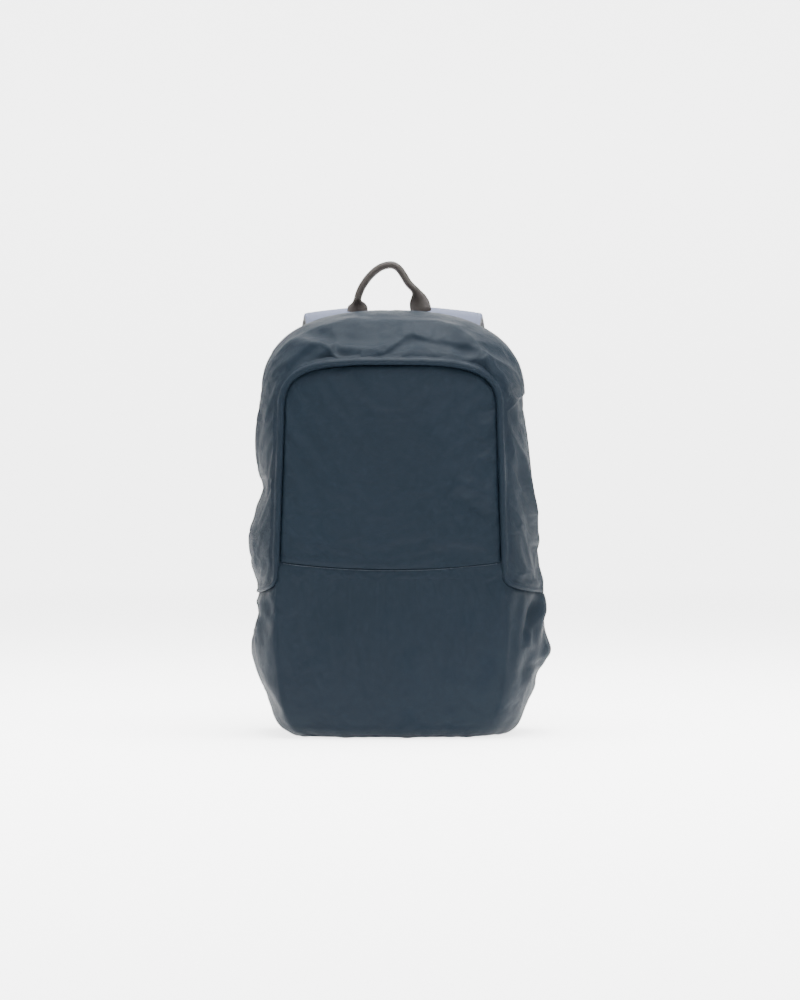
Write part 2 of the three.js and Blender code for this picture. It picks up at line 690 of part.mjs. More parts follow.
// The zip's centre line on the border, from its left end over the top to its right end.
function zipLine() {
  const kept = backOutline(borderWidth / 2).filter((p) => p.y > zipEnd);
  const ends = [kept[0], kept.at(-1)].map((p) => new THREE.Vector2(p.x, zipEnd));
  const line = [ends[0], ...kept, ends[1]];
  return line.map((p) => new THREE.Vector3(p.x, backDepth + seat + coilHeight / 2, p.y)).reverse();
}

function zipCoil() {
  const points = zipLine();
  return sweep(points, flatFrame(points, 1), () => padSection(coilWidth, -coilHeight / 2, coilHeight / 2));
}

// Centre line of a strap: its sewn end first, then up, over the arch and down to the lock.
function strapPoints(side, steps) {
  const control = strap.map(({ x, out, z }) =>
    new THREE.Vector3(side * x * bodyHalfWidth, padFace + out * strapStandoff, z * bodyHeight));
  return new THREE.CatmullRomCurve3(control, false, "centripetal").getPoints(steps);
}

// One layer of a shoulder strap, between two shares of its thickness.
function strapLayer(side, layer) {
  const points = strapPoints(side, strapSteps);
  const rows = strap.map((row, i) => ({ ...row, at: i / (strap.length - 1) }));
  const full = side * THREE.MathUtils.degToRad(strapTilt);
  const lean = (i) => full * column(rows, "at", "tilt", i / strapSteps);
  return sweep(points, stripFrame(points, lean), (i) => {
    const at = i / strapSteps;
    const width = strapWidth * column(rows, "at", "width", at);
    const thick = strapThickness * column(rows, "at", "thickness", at);
    return layer(width, thick);
  });
}

// The strap's out direction points away from the back where it hangs, so the pad is on that side.
const strapPad = (side) => strapLayer(side, (width, thick) => padSection(width, -thick / 2, thick / 2));
const strapMesh = (side) =>
  strapLayer(side, (width, thick) => {
    const low = thick / 2 + meshGap;
    return padSection(width - 2 * meshInset, low, low + meshThickness);
  });

// The lower end of a strap, as the frame that its lock hangs in: +Z back up the strap, +Y outward.
function strapEnd(side) {
  const points = strapPoints(side, 2 * strapSteps);
  const [before, end] = points.slice(-2);
  const up = before.clone().sub(end).setX(0).normalize();
  const acrossWay = new THREE.Vector3(1, 0, 0);
  const out = new THREE.Vector3().crossVectors(up, acrossWay);
  return new THREE.Matrix4().makeBasis(acrossWay, out, up).setPosition(end);
}

const wrapRadius = Math.hypot(lockThickness, lockBar) / 2 + webbingThickness / 2 + seat; // round a bar
const upperBar = -(loopReach + wrapRadius); // heights of the bars below the strap's end
const middleBar = upperBar - lockPitch;
const lowerBar = middleBar - lockFoot;

// Points of a half turn under (-1) or over (1) a bar, in the lock's plane of y and z.
const halfTurn = (z, way) =>
  shares(turnSteps).map((share) => {
    const angle = share * Math.PI;
    return [-wrapRadius * Math.cos(angle), z + way * wrapRadius * Math.sin(angle)];
  });

function placed(geometry, material, name, matrix) {
  const mesh = new THREE.Mesh(geometry, material);
  mesh.name = name;
  matrix.decompose(mesh.position, mesh.quaternion, mesh.scale);
  return mesh;
}

// The short webbing loop from the strap's end round the upper bar of the lock.
function lockLoop() {
  const outline = [[-wrapRadius, -seat], ...halfTurn(upperBar, -1), [wrapRadius, -seat]];
  const points = outline.map(([y, z]) => new THREE.Vector3(0, y, z));
  return sweep(points, stripFrame(points), () => flatSection(webbingWidth, webbingThickness));
}

// The ladder lock: a frame with three bars and two slots.
function ladderLock() {
  const [w, bar, slot] = [lockWidth / 2, lockBar / 2, webbingWidth / 2 + webbingPlay];
  const rectangle = (path, half, low, high) =>
    path.moveTo(-half, low).lineTo(half, low).lineTo(half, high).lineTo(-half, high).closePath();
  const foot = w - lockTaper;
  const shape = new THREE.Shape()
    .moveTo(-foot, lowerBar - bar)
    .lineTo(foot, lowerBar - bar)
    .lineTo(w, middleBar)
    .lineTo(w, upperBar + bar)
    .lineTo(-w, upperBar + bar)
    .lineTo(-w, middleBar)
    .closePath();
  shape.holes.push(rectangle(new THREE.Path(), slot, middleBar + bar, upperBar - bar));
  shape.holes.push(rectangle(new THREE.Path(), slot - lockTaper / 2, lowerBar + bar, middleBar - bar));
  return slab(shape, -lockThickness / 2, lockThickness / 2);
}

// The webbing: up from the tab behind the lock, over the middle bar and down as a free tail.
function adjustingWebbing(side) {
  const frame = strapEnd(side);
  const inLock = [[-wrapRadius, lowerBar], ...halfTurn(middleBar, 1), [wrapRadius, lowerBar - lockBar]];
  const turn = inLock.map(([y, z]) => new THREE.Vector3(0, y, z).applyMatrix4(frame));
  const foot = tabMiddle(side);
  foot.y += tabThickness + 3 * seat + webbingThickness / 2;
  const up = rising.map(({ z, inward, out }) =>
    new THREE.Vector3(-side * inward * webbingWidth, out * webbingWidth, z * tabHeight).add(foot));
  const down = tail.map(({ fall, outward, out }) =>
    new THREE.Vector3(side * outward * webbingWidth, out * webbingWidth, -fall * tailLength)
      .add(turn.at(-1)));
  const smooth = (control, steps) =>
    new THREE.CatmullRomCurve3(control, false, "centripetal").getPoints(steps);
  const below = smooth([...up, foot.clone().lerp(turn[0], slack), turn[0]], risingSteps);
  const points = [...below.slice(0, -1), ...turn.slice(0, -1), ...smooth(down, tailSteps)];
  return sweep(points, stripFrame(points), () => flatSection(webbingWidth, webbingThickness));
}

// Where the webbing's tab is sewn to the zip border, at the foot of the back.
function tabMiddle(side) {
  const z = tabLift + tabHeight / 2;
  const rim = halfWidth(z, side) - rimInset;
  return new THREE.Vector3(side * (rim - tabWidth / 2 - seamGap), backDepth, z);
}

// A folded fabric tab, wide at its foot and narrower where the webbing leaves it.
function tab(side) {
  const { x, z } = tabMiddle(side);
  const [half, top, tall] = [tabWidth / 2, webbingWidth / 2 + webbingPlay, tabHeight / 2];
  const shape = new THREE.Shape([
    new THREE.Vector2(x - half, z - tall),
    new THREE.Vector2(x + half, z - tall),
    new THREE.Vector2(x + top, z + tall),
    new THREE.Vector2(x - top, z + tall),
  ]);
  return slab(shape, backDepth + seat, backDepth + seat + tabThickness);
}

// The webbing handle: flat feet behind the crest, folded into a round grip between them.
function grabHandle() {
  const y = crestRidge + handleSetBack;
  const face = vectors(gussetSheet().raised(), "position");
  const seatAt = (x) => {
    const reach = footWidth / 2 + footClearance;
    const near = face.filter((p) => Math.abs(p.x - x) < reach && Math.abs(p.y - y) < footClearance);
    return Math.max(...near.map((p) => p.z)) + seat;
  };
  const feet = [-1, 1].map((end) => seatAt(handleShift + end * handleHalfSpan));
  const control = handle.map(({ x, rise }) => {
    const foot = lerp(feet[0], feet[1], (x + 1) / 2);
    const z = lerp(foot, bodyHeight + handleRise, rise);
    return new THREE.Vector3(handleShift + x * handleHalfSpan, y, z);
  });
  const steps = 2 * (handle.length - 1);
  const points = new THREE.CatmullRomCurve3(control, false, "centripetal").getPoints(steps);
  const rows = handle.map((row, i) => ({ ...row, step: i / (handle.length - 1) }));
  return sweep(points, flatFrame(points, 1), (i) => {
    const flat = THREE.MathUtils.clamp(column(rows, "step", "flat", i / steps), 0, 1);
    const width = lerp(gripWidth, footWidth, flat) / 2;
    const thick = lerp(gripThickness, footThickness, flat) / 2;
    return shares(gripSides).slice(0, -1).map((share) => {
      const angle = share * 2 * Math.PI;
      const [c, s] = [Math.cos(angle), Math.sin(angle)];
      const power = lerp(1, flatEdge, flat);
      return [Math.sign(c) * width * Math.abs(c) ** power, Math.sign(s) * thick * Math.abs(s) ** power];
    });
  });
}

// The zip's slider at its left end, and the pull that hangs from it.
function slider() {
  const end = zipLine()[0];
  const low = backDepth + 2 * seat + coilHeight;
  const body = new THREE.BoxGeometry(sliderWidth, sliderHeight, sliderLength);
  return body.translate(end.x, low + sliderHeight / 2, end.z + sliderLength / 2);
}

function pull() {
  const end = zipLine()[0];
  const face = backDepth + 3 * seat + coilHeight + sliderHeight;
  const [half, long] = [pullWidth / 2, pullLength];
  const shape = new THREE.Shape()
    .moveTo(end.x - half, end.z + half)
    .lineTo(end.x - half, end.z - long)
    .absarc(end.x, end.z - long, half, Math.PI, 2 * Math.PI)
    .lineTo(end.x + half, end.z + half)
    .closePath();
  return slab(shape, face, face + pullThickness);
}

// Materials
const fabricNavy = new THREE.MeshStandardMaterial({ color: "#33404d", roughness: 0.62, metalness: 0 });
const strapPale = new THREE.MeshStandardMaterial({ color: "#8c91a0", roughness: 0.7, metalness: 0 });
const meshGrey = new THREE.MeshStandardMaterial({ color: "#8b8d90", roughness: 0.9, metalness: 0 });
const webbingNavy = new THREE.MeshStandardMaterial({ color: "#262c35", roughness: 0.75, metalness: 0 });
const webbingBrown = new THREE.MeshStandardMaterial({ color: "#3c3430", roughness: 0.7, metalness: 0 });
const plasticBlack = new THREE.MeshStandardMaterial({ color: "#17181a", roughness: 0.45, metalness: 0 });
const zipMetal = new THREE.MeshStandardMaterial({ color: "#55585c", roughness: 0.4, metalness: 0.9 });

const still = new THREE.Matrix4();
const bag = new THREE.Group();
bag.add(
  placed(gusset(), fabricNavy, "gusset", still),
  placed(frontPanel(), fabricNavy, "front_panel", still),
  placed(lowerPanel(), fabricNavy, "lower_panel", still),
  placed(base(), fabricNavy, "base_panel", still),
  placed(edgeRoll(), fabricNavy, "edge_roll", still),
  placed(zipBorder(), fabricNavy, "zip_border", still),
  placed(backPad(), meshGrey, "back_pad", still),
  placed(zipCoil(), plasticBlack, "zip_coil", still),
  placed(slider(), zipMetal, "zip_slider", still),
  placed(pull(), zipMetal, "zip_pull", still),
  placed(grabHandle(), webbingBrown, "handle", still),
);
for (const [name, side] of [["left", -1], ["right", 1]]) {
  const end = strapEnd(side);
  bag.add(
    placed(strapPad(side), strapPale, `strap_${name}`, still),
    placed(strapMesh(side), meshGrey, `strap_mesh_${name}`, still),
    placed(lockLoop(), webbingNavy, `lock_loop_${name}`, end),
    placed(ladderLock(), plasticBlack, `ladder_lock_${name}`, end),
    placed(adjustingWebbing(side), webbingNavy, `webbing_${name}`, still),
    placed(tab(side), fabricNavy, `tab_${name}`, still),
  );
}

export default bag;
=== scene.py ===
"""Dresses a packed soft daypack: draped fabric panels, padded straps, zip, webbing and a pale studio.

Lengths are in millimetres until a mesh is made. The front faces -Y and +Z is up. Folds are laid out
in the picture plane: the upright plane through the bag's middle, as the camera sees it.
"""
import logging
import math
from collections.abc import Mapping, Sequence
from dataclasses import dataclass, field
from enum import Enum

import bpy
import numpy as np
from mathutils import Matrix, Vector


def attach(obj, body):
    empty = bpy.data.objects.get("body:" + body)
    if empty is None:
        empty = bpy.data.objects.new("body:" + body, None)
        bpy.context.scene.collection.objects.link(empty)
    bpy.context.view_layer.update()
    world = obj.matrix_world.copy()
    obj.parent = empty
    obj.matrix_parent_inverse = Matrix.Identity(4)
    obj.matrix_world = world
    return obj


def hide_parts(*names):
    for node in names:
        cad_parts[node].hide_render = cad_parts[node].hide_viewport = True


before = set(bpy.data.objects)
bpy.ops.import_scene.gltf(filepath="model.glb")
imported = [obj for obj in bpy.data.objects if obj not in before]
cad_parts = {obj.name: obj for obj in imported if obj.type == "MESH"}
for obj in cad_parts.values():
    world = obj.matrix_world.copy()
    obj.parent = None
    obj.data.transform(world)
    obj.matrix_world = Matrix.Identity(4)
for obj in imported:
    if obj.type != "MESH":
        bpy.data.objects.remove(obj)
BODY = "root"
MM = 0.001
WEAVE_UV = "weave"
log = logging.getLogger("daypack")

Array = np.ndarray
Point = tuple[float, float]
Colour = tuple[float, float, float, float]


class Side(Enum):
    """The two hands of the bag, seen from the front."""

    LEFT = -1
    RIGHT = 1

    @property
    def word(self) -> str:
        """Returns the hand as it stands in a piece's name."""
        return self.name.lower()


# Shader maths

class Graph:
    """The node tree of one material."""

    def __init__(self, name: str) -> None:
        """Starts an empty tree.

        Args:
            name: name of the material.
        """
        self.material = bpy.data.materials.new(name)
        self.material.use_nodes = True
        self.tree = self.material.node_tree
        self.tree.nodes.clear()

    def node(self, kind: str, settings: Mapping | None = None,
             inputs: Mapping | None = None) -> bpy.types.ShaderNode:
        """Adds a node.

        Args:
            kind: Blender's type of the node.
            settings: its own settings, which are set first; "stops" are the stops of a ramp.
            inputs: values or links of its sockets, by name or number.

        Returns:
            The node.
        """
        made = self.tree.nodes.new(kind)
        for key, setting in (settings or {}).items():
            if key == "stops":
                self._set_stops(made.color_ramp, setting)
            else:
                setattr(made, key, setting)
        for key, value in (inputs or {}).items():
            socket = made.inputs[key]
            if isinstance(value, Value):
                self.tree.links.new(value.socket, socket)
            else:
                socket.default_value = value
        return made

    @staticmethod
    def _set_stops(ramp: bpy.types.ColorRamp, stops: Sequence[tuple[float, tuple]]) -> None:
        """Gives a colour ramp its stops.

        Args:
            ramp: the ramp.
            stops: the place and colour of each stop.
        """
        while len(ramp.elements) < len(stops):
            ramp.elements.new(1.0)
        for element, (place, colour) in zip(ramp.elements, stops):
            element.position = place
            element.color = colour

    def value(self, kind: str, output: int | str, settings: Mapping | None = None,
              inputs: Mapping | None = None) -> "Value":
        """Adds a node and returns one of its outputs as a value.

        Args:
            kind: Blender's type of the node.
            output: name or number of the output.
            settings: its own settings.
            inputs: values or links of its sockets.

        Returns:
            The output.
        """
        return Value(self, self.node(kind, settings, inputs).outputs[output])

    def place(self) -> "Value":
        """Returns the place on the object, in metres."""
        return self.value("ShaderNodeTexCoord", "Object")

    def noise(self, scale: float, detail: float = 3.0, where: "Value | None" = None) -> "Value":
        """Makes soft noise from 0 to 1.

        Args:
            scale: waves in a metre.
            detail: number of finer layers.
            where: the place, which is that on the object if none is given.

        Returns:
            The noise.
        """
        inputs = {"Vector": where or self.place(), "Scale": scale, "Detail": detail}
        return self.value("ShaderNodeTexNoise", "Fac", None, inputs)

    def weave_plane(self) -> tuple["Value", "Value"]:
        """Reads the cloth's own plane.

        Returns:
            Its two directions, in metres.
        """
        uv = self.value("ShaderNodeUVMap", 0, {"uv_map": WEAVE_UV})
        split = self.node("ShaderNodeSeparateXYZ", None, {0: uv})
        return Value(self, split.outputs[0]), Value(self, split.outputs[1])

    def tint(self, share: "Value", low: "Value | Colour", high: "Value | Colour") -> "Value":
        """Mixes two colours.

        Args:
            share: 0 for the first colour and 1 for the second.
            low: the first colour.
            high: the second colour.

        Returns:
            The colour.
        """
        return self.value("ShaderNodeMix", 2, {"data_type": "RGBA"}, {0: share, 6: low, 7: high})

    def bump(self, height: "Value", depth: float, under: "Value | None" = None) -> "Value":
        """Raises a normal by a height.

        Args:
            height: the height, as a share of the depth.
            depth: the depth in metres.
            under: a normal that this one is laid on.

        Returns:
            The normal.
        """
        inputs = {"Height": height, "Distance": depth, "Strength": 1.0}
        if under:
            inputs["Normal"] = under
        return self.value("ShaderNodeBump", 0, None, inputs)

    def finish(self, inputs: Mapping) -> bpy.types.Material:
        """Closes the tree with a surface shader.

        Args:
            inputs: values or links of the surface shader's sockets.

        Returns:
            The material.
        """
        surface = self.value("ShaderNodeBsdfPrincipled", 0, None, inputs)
        self.node("ShaderNodeOutputMaterial", None, {"Surface": surface})
        return self.material


class Value:
    """A number, colour or vector that varies over a surface."""

    def __init__(self, graph: Graph, socket: bpy.types.NodeSocket) -> None:
        """Wraps a socket.

        Args:
            graph: the tree that the socket is in.
            socket: the output socket.
        """
        self.graph = graph
        self.socket = socket

    def _math(self, operation: str, *inputs: "Value | float") -> "Value":
        """Adds a Math node.

        Args:
            operation: the node's operation.
            inputs: its values, in order.

        Returns:
            The result.
        """
        return self.graph.value("ShaderNodeMath", 0, {"operation": operation}, dict(enumerate(inputs)))

    def __add__(self, other: "Value | float") -> "Value":
        """Returns the sum."""
        return self._math("ADD", self, other)

    def __sub__(self, other: "Value | float") -> "Value":
        """Returns the difference."""
        return self._math("SUBTRACT", self, other)

    def __rsub__(self, other: float) -> "Value":
        """Returns the difference from a number."""
        return self._math("SUBTRACT", other, self)

    def __mul__(self, other: "Value | float") -> "Value":
        """Returns the product."""
        return self._math("MULTIPLY", self, other)

    __radd__ = __add__
    __rmul__ = __mul__

    def wave(self) -> "Value":
        """Returns the sine, moved into 0 to 1."""
        return self._math("SINE", self) * 0.5 + 0.5

    def ramp(self, low: float, high: float) -> "Value":
        """Returns 0 below one number and 1 above another, and a soft rise between them."""
        settings = {"interpolation_type": "SMOOTHSTEP"}
        return self.graph.value("ShaderNodeMapRange", 0, settings, {0: self, 1: low, 2: high})


def linear(red: int, green: int, blue: int) -> Colour:
    """Turns a screen colour into linear light.

    Args:
        red: red, from 0 to 255.
        green: green, from 0 to 255.
        blue: blue, from 0 to 255.

    Returns:
        The colour, opaque.
    """
    parts = [part / 255 for part in (red, green, blue)]
    light = [part / 12.92 if part <= 0.04045 else ((part + 0.055) / 1.055) ** 2.4 for part in parts]
    return (light[0], light[1], light[2], 1.0)


def shaded(colour: Colour, factor: float) -> Colour:
    """Returns a colour made lighter or darker by a factor."""
    return tuple(min(1.0, part * factor) for part in colour[:3]) + (1.0,)


# Finishes

@dataclass(frozen=True)
class Finish:
    """What each finish of a piece has: its name, its colour and the name of its slot."""

    name: str
    colour: Colour
    slot: str

    def material(self) -> bpy.types.Material:
        """Returns the finish's material."""
        raise NotImplementedError

    def shades(self, low: float, high: float) -> tuple[Colour, Colour]:
        """Returns the colour made darker and lighter by two factors."""
        return shaded(self.colour, low), shaded(self.colour, high)


@dataclass(frozen=True)
class PlainWeave(Finish):
    """Fine plain-woven polyester with a slight sheen and soft handling marks."""

    pitch: float = 0.00042
    roughness: float = 0.55
    sheen: float = 0.03

    def material(self) -> bpy.types.Material:
        """Makes the cloth's material.

        Returns:
            The material.
        """
        graph = Graph(self.name)
        across, along = graph.weave_plane()
        turns = 2 * math.pi / self.pitch
        warp, weft = (across * turns).wave(), (along * turns).wave()
        threads = warp * weft
        slub = graph.noise(900.0, 1.0)
        cloud = graph.noise(9.0, 2.0)
        worn = graph.noise(38.0, 2.0).ramp(0.48, 0.75)
        shade = (cloud * 0.55 + slub * 0.3 + threads * 0.15).ramp(0.2, 0.8)
        soft = graph.bump(graph.noise(130.0, 3.0), 0.0003)
        return graph.finish({
            "Base Color": graph.tint(shade, *self.shades(0.86, 1.14)),
            "Roughness": self.roughness + 0.12 * worn - 0.05 * threads,
            "Normal": graph.bump(threads, 0.00007, soft),
            "Sheen Weight": self.sheen,
            "Sheen Roughness": 0.4,
            "Sheen Tint": shaded(self.colour, 8.0),
            "Specular IOR Level": 0.07,
        })


@dataclass(frozen=True)
class SpacerMesh(Finish):
    """Open air mesh: small round holes in a knitted face, with painted shade in the holes for the shadow in
    the depth behind them.
    """

    pitch: float = 0.0036

    def material(self) -> bpy.types.Material:
        """Makes the mesh's material.

        Returns:
            The material.
        """
        graph = Graph(self.name)
        across, along = graph.weave_plane()
        turns = 2 * math.pi / self.pitch
        first = ((across + along * 0.577) * turns).wave()
        second = ((across - along * 0.577) * turns).wave()
        third = (along * (turns * 1.155)).wave()
        holes_and_painted_shade = (first * second * third).ramp(0.12, 0.42)
        yarn = graph.noise(1500.0, 2.0)
        shade = graph.tint(yarn, *self.shades(0.82, 1.15))
        return graph.finish({
            # painted shade: the holes take the mesh colour darkened to 0.12, for the shadow in the depth
            # behind them
            "Base Color": graph.tint(holes_and_painted_shade, shade, shaded(self.colour, 0.12)),
            "Roughness": 0.82 + 0.12 * yarn,
            "Normal": graph.bump((1 - holes_and_painted_shade) * 0.85 + yarn * 0.15, 0.0009),
            "Sheen Weight": 0.2,
            "Specular IOR Level": 0.25,
        })


@dataclass(frozen=True)
class WovenTape(Finish):
    """Webbing with ribs across it and a faint herringbone."""

    rib: float = 0.0008

    def material(self) -> bpy.types.Material:
        """Makes the webbing's material.

        Returns:
            The material.
        """
        graph = Graph(self.name)
        across, along = graph.weave_plane()
        turns = 2 * math.pi / self.rib
        ribs = ((along + across * 0.35) * turns).wave()
        cords = (across * (turns * 0.7)).wave()
        face = ribs * 0.6 + cords * 0.4
        fuzz = graph.noise(700.0, 3.0)
        shade = (face * 0.6 + fuzz * 0.4).ramp(0.15, 0.85)
        return graph.finish({
            "Base Color": graph.tint(shade, *self.shades(0.85, 1.12)),
            "Roughness": 0.6 + 0.2 * fuzz,
            "Normal": graph.bump(face * 0.8 + fuzz * 0.2, 0.00012),
            "Sheen Weight": 0.3,
            "Sheen Roughness": 0.5,
            "Sheen Tint": shaded(self.colour, 4.0),
            "Specular IOR Level": 0.4,
        })


@dataclass(frozen=True)
class MouldedPlastic(Finish):
    """Acetal with a fine spark-eroded grain."""

    def material(self) -> bpy.types.Material:
        """Makes the plastic's material.

        Returns:
            The material.
        """
        graph = Graph(self.name)
        grain = graph.noise(2600.0, 2.0)
        rubbed = graph.noise(60.0, 4.0).ramp(0.5, 0.72)
        return graph.finish({
            "Base Color": graph.tint(rubbed, *self.shades(1.0, 1.5)),
            "Roughness": 0.42 + 0.12 * grain - 0.08 * rubbed,
            "Normal": graph.bump(grain, 0.00004),
        })


@dataclass(frozen=True)
class PlatedMetal(Finish):
    """Dark plated zinc with rubbed high spots."""

    def material(self) -> bpy.types.Material:
        """Makes the metal's material.

        Returns:
            The material.
        """
        graph = Graph(self.name)
        scratch = graph.noise(420.0, 6.0).ramp(0.45, 0.7)
        return graph.finish({
            "Base Color": graph.tint(scratch, *self.shades(1.0, 1.6)),
            "Metallic": 1.0,
            "Roughness": 0.3 + 0.16 * scratch,
            "Normal": graph.bump(scratch, 0.00002),
        })


@dataclass(frozen=True)
class SewingThread(Finish):
    """Twisted polyester thread."""

    def material(self) -> bpy.types.Material:
        """Makes the thread's material.

        Returns:
            The material.
        """
        graph = Graph(self.name)
        twist = graph.noise(4200.0, 2.0)
        return graph.finish({
            "Base Color": graph.tint(twist, *self.shades(0.8, 1.2)),
            "Roughness": 0.5 + 0.1 * twist,
            "Sheen Weight": 0.2,
        })


@dataclass(frozen=True)
class StudioPaper:
    """Pale seamless paper, lit along a lane that runs under and behind the bag."""

    colour: Colour = (0.8, 0.8, 0.8, 1.0)
    glow: float = 3.1
    dim: float = 0.3
    lane: tuple[float, float] = (1.2, 2.2)
    front: tuple[float, float] = (-3.0, -1.5)

    def material(self) -> bpy.types.Material:
        """Makes the paper's material.

        Returns:
            The material.
        """
        graph = Graph("studio_paper")
        place = graph.place()
        x, y = (graph.value("ShaderNodeSeparateXYZ", i, None, {"Vector": place}) for i in (0, 1))
        aside = (x * x).ramp(self.lane[0] ** 2, self.lane[1] ** 2)
        lit = (1 - aside) * y.ramp(*self.front)
        dark, pale = (self.dim,) * 3 + (1.0,), (1.0, 1.0, 1.0, 1.0)
        return graph.finish({
            "Base Color": self.colour,
            "Roughness": 0.95,
            "Specular IOR Level": 0.0,
            "Emission Color": graph.tint(lit, dark, pale),
            "Emission Strength": self.glow,
        })


@dataclass
class Finishes:
    """The finishes of all the pieces, each made once."""

    shell: PlainWeave = PlainWeave("navy_shell", linear(11, 20, 28), "shell_fabric")
    strap: PlainWeave = PlainWeave("pale_strap_cloth", linear(86, 91, 107), "strap_fabric", roughness=0.6)
    mesh: SpacerMesh = SpacerMesh("grey_spacer_mesh", linear(74, 74, 76), "spacer_mesh")
    handle: WovenTape = WovenTape("brown_webbing", linear(27, 21, 18), "handle_webbing")
    webbing: WovenTape = WovenTape("navy_webbing", linear(9, 12, 17), "strap_webbing")
    plastic: MouldedPlastic = MouldedPlastic("black_acetal", linear(22, 23, 26), "lock_plastic")
    coil: MouldedPlastic = MouldedPlastic("black_coil", linear(24, 26, 30), "zip_coil")
    metal: PlatedMetal = PlatedMetal("dark_plate", linear(88, 90, 95), "zip_metal")
    thread: SewingThread = SewingThread("navy_thread", linear(26, 36, 48), "shell_fabric")
    made: dict[str, bpy.types.Material] = field(default_factory=dict)

    def mount(self, piece: bpy.types.Object, finish: Finish, *nodes: str) -> bpy.types.Object:
        """Dresses a piece and lets it ride on the body and stand for solids.

        Args:
            piece: the piece.
            finish: one of the finishes.
            nodes: the solids that it stands for.

        Returns:
            The piece.
        """
        if finish.name not in self.made:
            self.made[finish.name] = finish.material()
        piece.data.materials.clear()
        piece.data.materials.append(self.made[finish.name])
        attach(piece, BODY)
        if nodes:
            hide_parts(*nodes)
        log.info("%s: %d faces", piece.name, len(piece.data.polygons))
        return piece


# Geometry helpers

def unit(vectors: Array) -> Array:
    """Returns vectors with a length of one."""
    return vectors / np.maximum(np.linalg.norm(vectors, axis=-1, keepdims=True), 1e-9)


def smooth(value: Array, low: float, high: float) -> Array:
    """Returns a soft step from 0 at one number to 1 at another."""
    share = np.clip((np.asarray(value, float) - low) / (high - low), 0, 1)
    return share * share * (3 - 2 * share)


def mix(first: Array, second: Array, share: Array) -> Array:
    """Returns the straight mix of two values."""
    return first + (second - first) * share


def along(points: Array) -> Array:
    """Returns the distance along a line of points, from its first one."""
    steps = np.linalg.norm(np.diff(points, axis=0), axis=1)
    return np.concatenate([[0.0], np.cumsum(steps)])


def evenly(points: Array, count: int) -> Array:
    """Spaces points evenly along a line.

    Args:
        points: the line's points.
        count: how many points to return.

    Returns:
        The points.
    """
    at = along(points)
    places = np.linspace(0, at[-1], count)
    return np.stack([np.interp(places, at, points[:, axis]) for axis in range(points.shape[1])], axis=1)


def rounded_line(control: Sequence[Sequence[float]], count: int) -> Array:
    """Draws a smooth line through control points, spaced evenly.

    Args:
        control: the points to pass through.
        count: how many points to return.

    Returns:
        The line's points.
    """
    points = np.asarray(control, float)
    ends = [2 * points[0] - points[1], *points, 2 * points[-1] - points[-2]]
    found = []
    for before, start, end, after in zip(ends, ends[1:], ends[2:], ends[3:]):
        for t in np.linspace(0, 1, 13)[:-1]:
            found.append(0.5 * (
                2 * start + (end - before) * t + (2 * before - 5 * start + 4 * end - after) * t ** 2
                + (3 * start - before - 3 * end + after) * t ** 3))
    return evenly(np.array([*found, points[-1]]), count)


def grid_normals(grid: Array) -> Array:
    """Returns the outward normals of a grid of points whose rows and columns turn left-handed."""
    return unit(np.cross(np.gradient(grid, axis=1), np.gradient(grid, axis=0)))


def ripple(at: Array, waves: Sequence[tuple[float, float, float]]) -> Array:
    """Returns the sum of waves, each with a size, a rate and a phase, at places along a line."""
    return sum(size * np.sin(at * rate + phase) for size, rate, phase in waves)


def ring(centre: Array, first: Array, second: Array, count: int = 6) -> Array:
    """Returns a closed ring of points that turns from one arm towards another."""
    turns = np.linspace(0, 2 * math.pi, count, endpoint=False)[:, None]
    return centre + first * np.cos(turns) + second * np.sin(turns)


def evened(rows: Array, window: Array) -> Array:
    """Averages each row of numbers with its neighbours.

    Args:
        rows: the rows.
        window: weights of the neighbours, an odd number of them.

    Returns:
        As many rows.
    """
    weights, reach = window / window.sum(), len(window) // 2
    padded = np.pad(rows, ((reach, reach), (0, 0)), mode="edge")
    return np.stack([np.convolve(column, weights, "valid") for column in padded.T], axis=1)


def mirrored(half: Sequence[tuple], middle: Sequence[tuple] = ()) -> list[tuple]:
    """Returns a section: its left half, the rows in its middle, and the left half mirrored."""
    return [*half, *middle, *((-row[0], *row[1:]) for row in reversed(half))]


def swept(line: Array, across: Array, out: Array, section: Sequence[tuple]) -> Array:
    """Moves a section along a line.

    Args:
        line: the line's points.
        across: direction of the section's width at each of them.
        out: direction of its height.
        section: width and height of its points, each the same all along or one for each point.

    Returns:
        The grid of points.
    """
    size = len(line)
    return np.stack([
        line + across * np.broadcast_to(a, size)[:, None] + out * np.broadcast_to(h, size)[:, None]
        for a, h in section], axis=1)


@dataclass(frozen=True)
class Column:
    """A smooth monotone curve through one column of a table."""

    at: tuple[float, ...]
    values: tuple[float, ...]

    def __call__(self, place: Array | float) -> Array:
        """Reads the curve.

        Args:
            place: places along the table.

        Returns:
            The value at each.
        """
        at, values = np.asarray(self.at), np.asarray(self.values)
        step = np.diff(at)
        slope = np.diff(values) / step
        before, after = slope[:-1], slope[1:]
        rising = before * after > 0
        total = np.where(rising, before + after, 1.0)
        inner = np.where(rising, 2 * before * after / total, 0.0)
        tangent = np.concatenate([slope[:1], inner, slope[-1:]])
        where = np.clip(place, at[0], at[-1])
        i = np.clip(np.searchsorted(at, where) - 1, 0, len(step) - 1)
        t = (where - at[i]) / step[i]
        return (
            (2 * t ** 3 - 3 * t ** 2 + 1) * values[i] + (t ** 3 - 2 * t ** 2 + t) * step[i] * tangent[i]
            + (3 * t ** 2 - 2 * t ** 3) * values[i + 1] + (t ** 3 - t ** 2) * step[i] * tangent[i + 1])


def columns(names: str, rows: Sequence[Sequence[float]]) -> dict[str, Column]:
    """Turns a table into curves along its first column.

    Args:
        names: the columns' names, the first one being what the others are read along.
        rows: the table's rows.

    Returns:
        A curve for each name but the first.
    """
    first, *others = names.split()
    table = list(zip(*rows))
    return {name: Column(table[0], table[i + 1]) for i, name in enumerate(others)}


